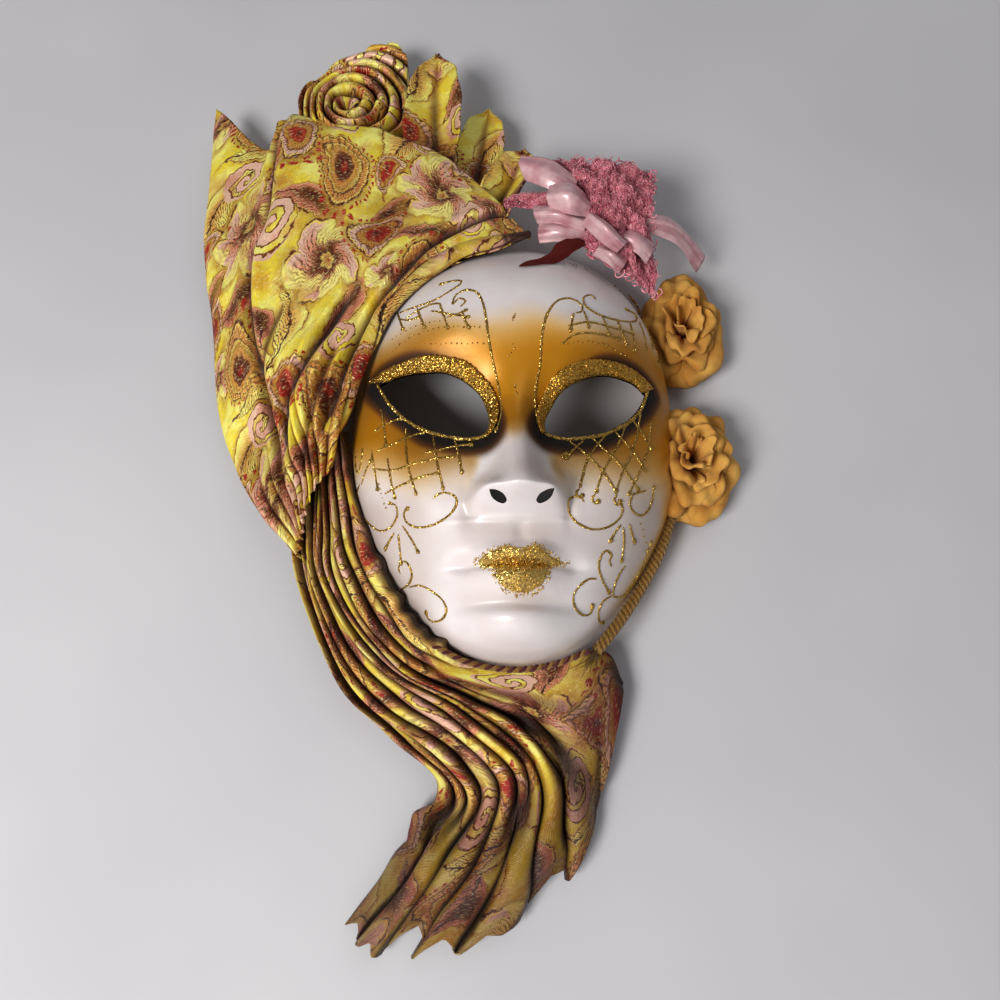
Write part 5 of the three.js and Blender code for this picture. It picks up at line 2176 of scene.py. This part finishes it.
@dataclass
class Studio:
    """The pale floor, the soft lamps and the camera at the photograph's place."""

    camera_at: Point = (-6.6, -140.0, 398.6)
    tilt_degrees: float = 17.0
    lens: float = 29.52
    floor_size: float = 6.0
    floor_z: float = -0.0002
    air: Colour = (0.97, 0.965, 0.965, 1.0)
    air_strength: float = 0.19
    lamps: tuple[Lamp, ...] = (
        Lamp("key_lamp", (-0.68, -0.64, 1.05), (0, 0, 0), 0.5, 14.2, (1.0, 0.985, 0.965)),
        Lamp("low_lamp", (-0.25, -1.1, 0.32), (0, 0, 0.03), 0.7, 1.9, (1.0, 0.99, 0.98)),
        Lamp("fill_lamp", (0.6, 0.8, 1.3), (0, 0, 0), 1.2, 2.7, (0.98, 0.98, 1.0)),
    )

    def floor(self) -> None:
        """A wide plain floor."""
        deselect()
        bpy.ops.mesh.primitive_plane_add(size=self.floor_size, location=(0, 0, self.floor_z))
        piece = bpy.context.object
        piece.name = "studio_floor"
        dress(piece, FloorPaint().material())

    def build(self) -> None:
        """Sets the studio up."""
        self.floor()
        for lamp in self.lamps:
            lamp.build()
        world = bpy.data.worlds.new("studio_air")
        bpy.context.scene.world = world
        world.use_nodes = True
        colour, strength = world.node_tree.nodes["Background"].inputs[:2]
        colour.default_value, strength.default_value = self.air, self.air_strength
        deselect()
        tilt = math.radians(self.tilt_degrees)
        bpy.ops.object.camera_add(location=to_row(self.camera_at), rotation=(tilt, 0, 0))
        camera = bpy.context.object
        camera.name = "photo_camera"
        camera.data.sensor_width, camera.data.lens = 36.0, self.lens
        camera.data.clip_start = 0.01
        bpy.context.scene.camera = camera
        bpy.context.scene.view_settings.view_transform = "Standard"
        bpy.context.scene.view_settings.look = "Medium High Contrast"


# Main


def leaves() -> list[Leaf]:
    """The three brocade leaves between the rosette and the satin."""
    return [
        Leaf("leaf_tall_cloth", "brocade_leaf_tall", (-44, 146, 24), (-42, 236, 27), 31, 9, 3, (20, 30)),
        Leaf("leaf_short_cloth", "brocade_leaf_short", (-24, 134, 20), (-13, 212, 13), 27, 5, 0, (64, 8)),
        Leaf("leaf_curled_cloth", "brocade_leaf_curled", (-13, 118, 35), (6, 167, 32), 22, 8, 5, (24, 70)),
    ]


def roses() -> list[Rose]:
    """The two peach roses."""
    return [
        Rose("rose_upper_cloth", "rose_upper", 89, 70, 3, 22, 27, 3, 1.42),
        Rose("rose_lower_cloth", "rose_lower", 88, -3, 3, 24.5, 30, 8, 1.26),
    ]


def cords() -> list[TwistedCord]:
    """The gold cord down the jaw and the thin braid along the chin."""
    gold = TwistedThread("gold_twist_thread", ink(196, 152, 74), ink(78, 48, 16))
    braid = (
        TwistedThread("burgundy_thread", ink(128, 48, 40), ink(66, 16, 14)),
        TwistedThread("braid_gold_thread", ink(206, 160, 74), ink(110, 64, 22)),
    )
    return [
        TwistedCord(
            "gold_cord_twisted", "gold_cord", Slot.GOLD,
            ((77, -30, 13), (70.5, -48, 14), (61.5, -64, 15), (51.5, -79, 18), (42, -91, 21), (37, -97, 22)),
            2.9, 8.0, (gold, gold, gold), 42,
        ),
        TwistedCord(
            "chin_cord_twisted", "chin_cord", Slot.BURGUNDY,
            ((34, -97, 27), (18, -103, 27), (0, -105.5, 27), (-20, -102.5, 27), (-38, -94, 28)),
            1.6, 5.0, braid,
        ),
    ]


def main() -> None:
    """Builds the studio and every sub-assembly."""
    logging.basicConfig(level=logging.INFO, format="%(message)s")
    Studio().build()
    assemblies = [
        FaceShell(), Lids(), Lips(), Tracery(), Fan(), Sash(), EdgeBand(), Rosette(), *leaves(),
        SatinFlower(), Lace(), *roses(), *cords(), Feather(),
    ]
    total = 0
    for assembly in assemblies:
        made = assembly.build()
        for piece in made if isinstance(made, list) else [made]:
            faces = sum(len(p.vertices) - 2 for p in piece.data.polygons)
            total += faces
            log.info("%s: %d triangles", piece.name, faces)
    log.info("whole: %d triangles", total)
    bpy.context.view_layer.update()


if __name__ == "__main__":
    main()
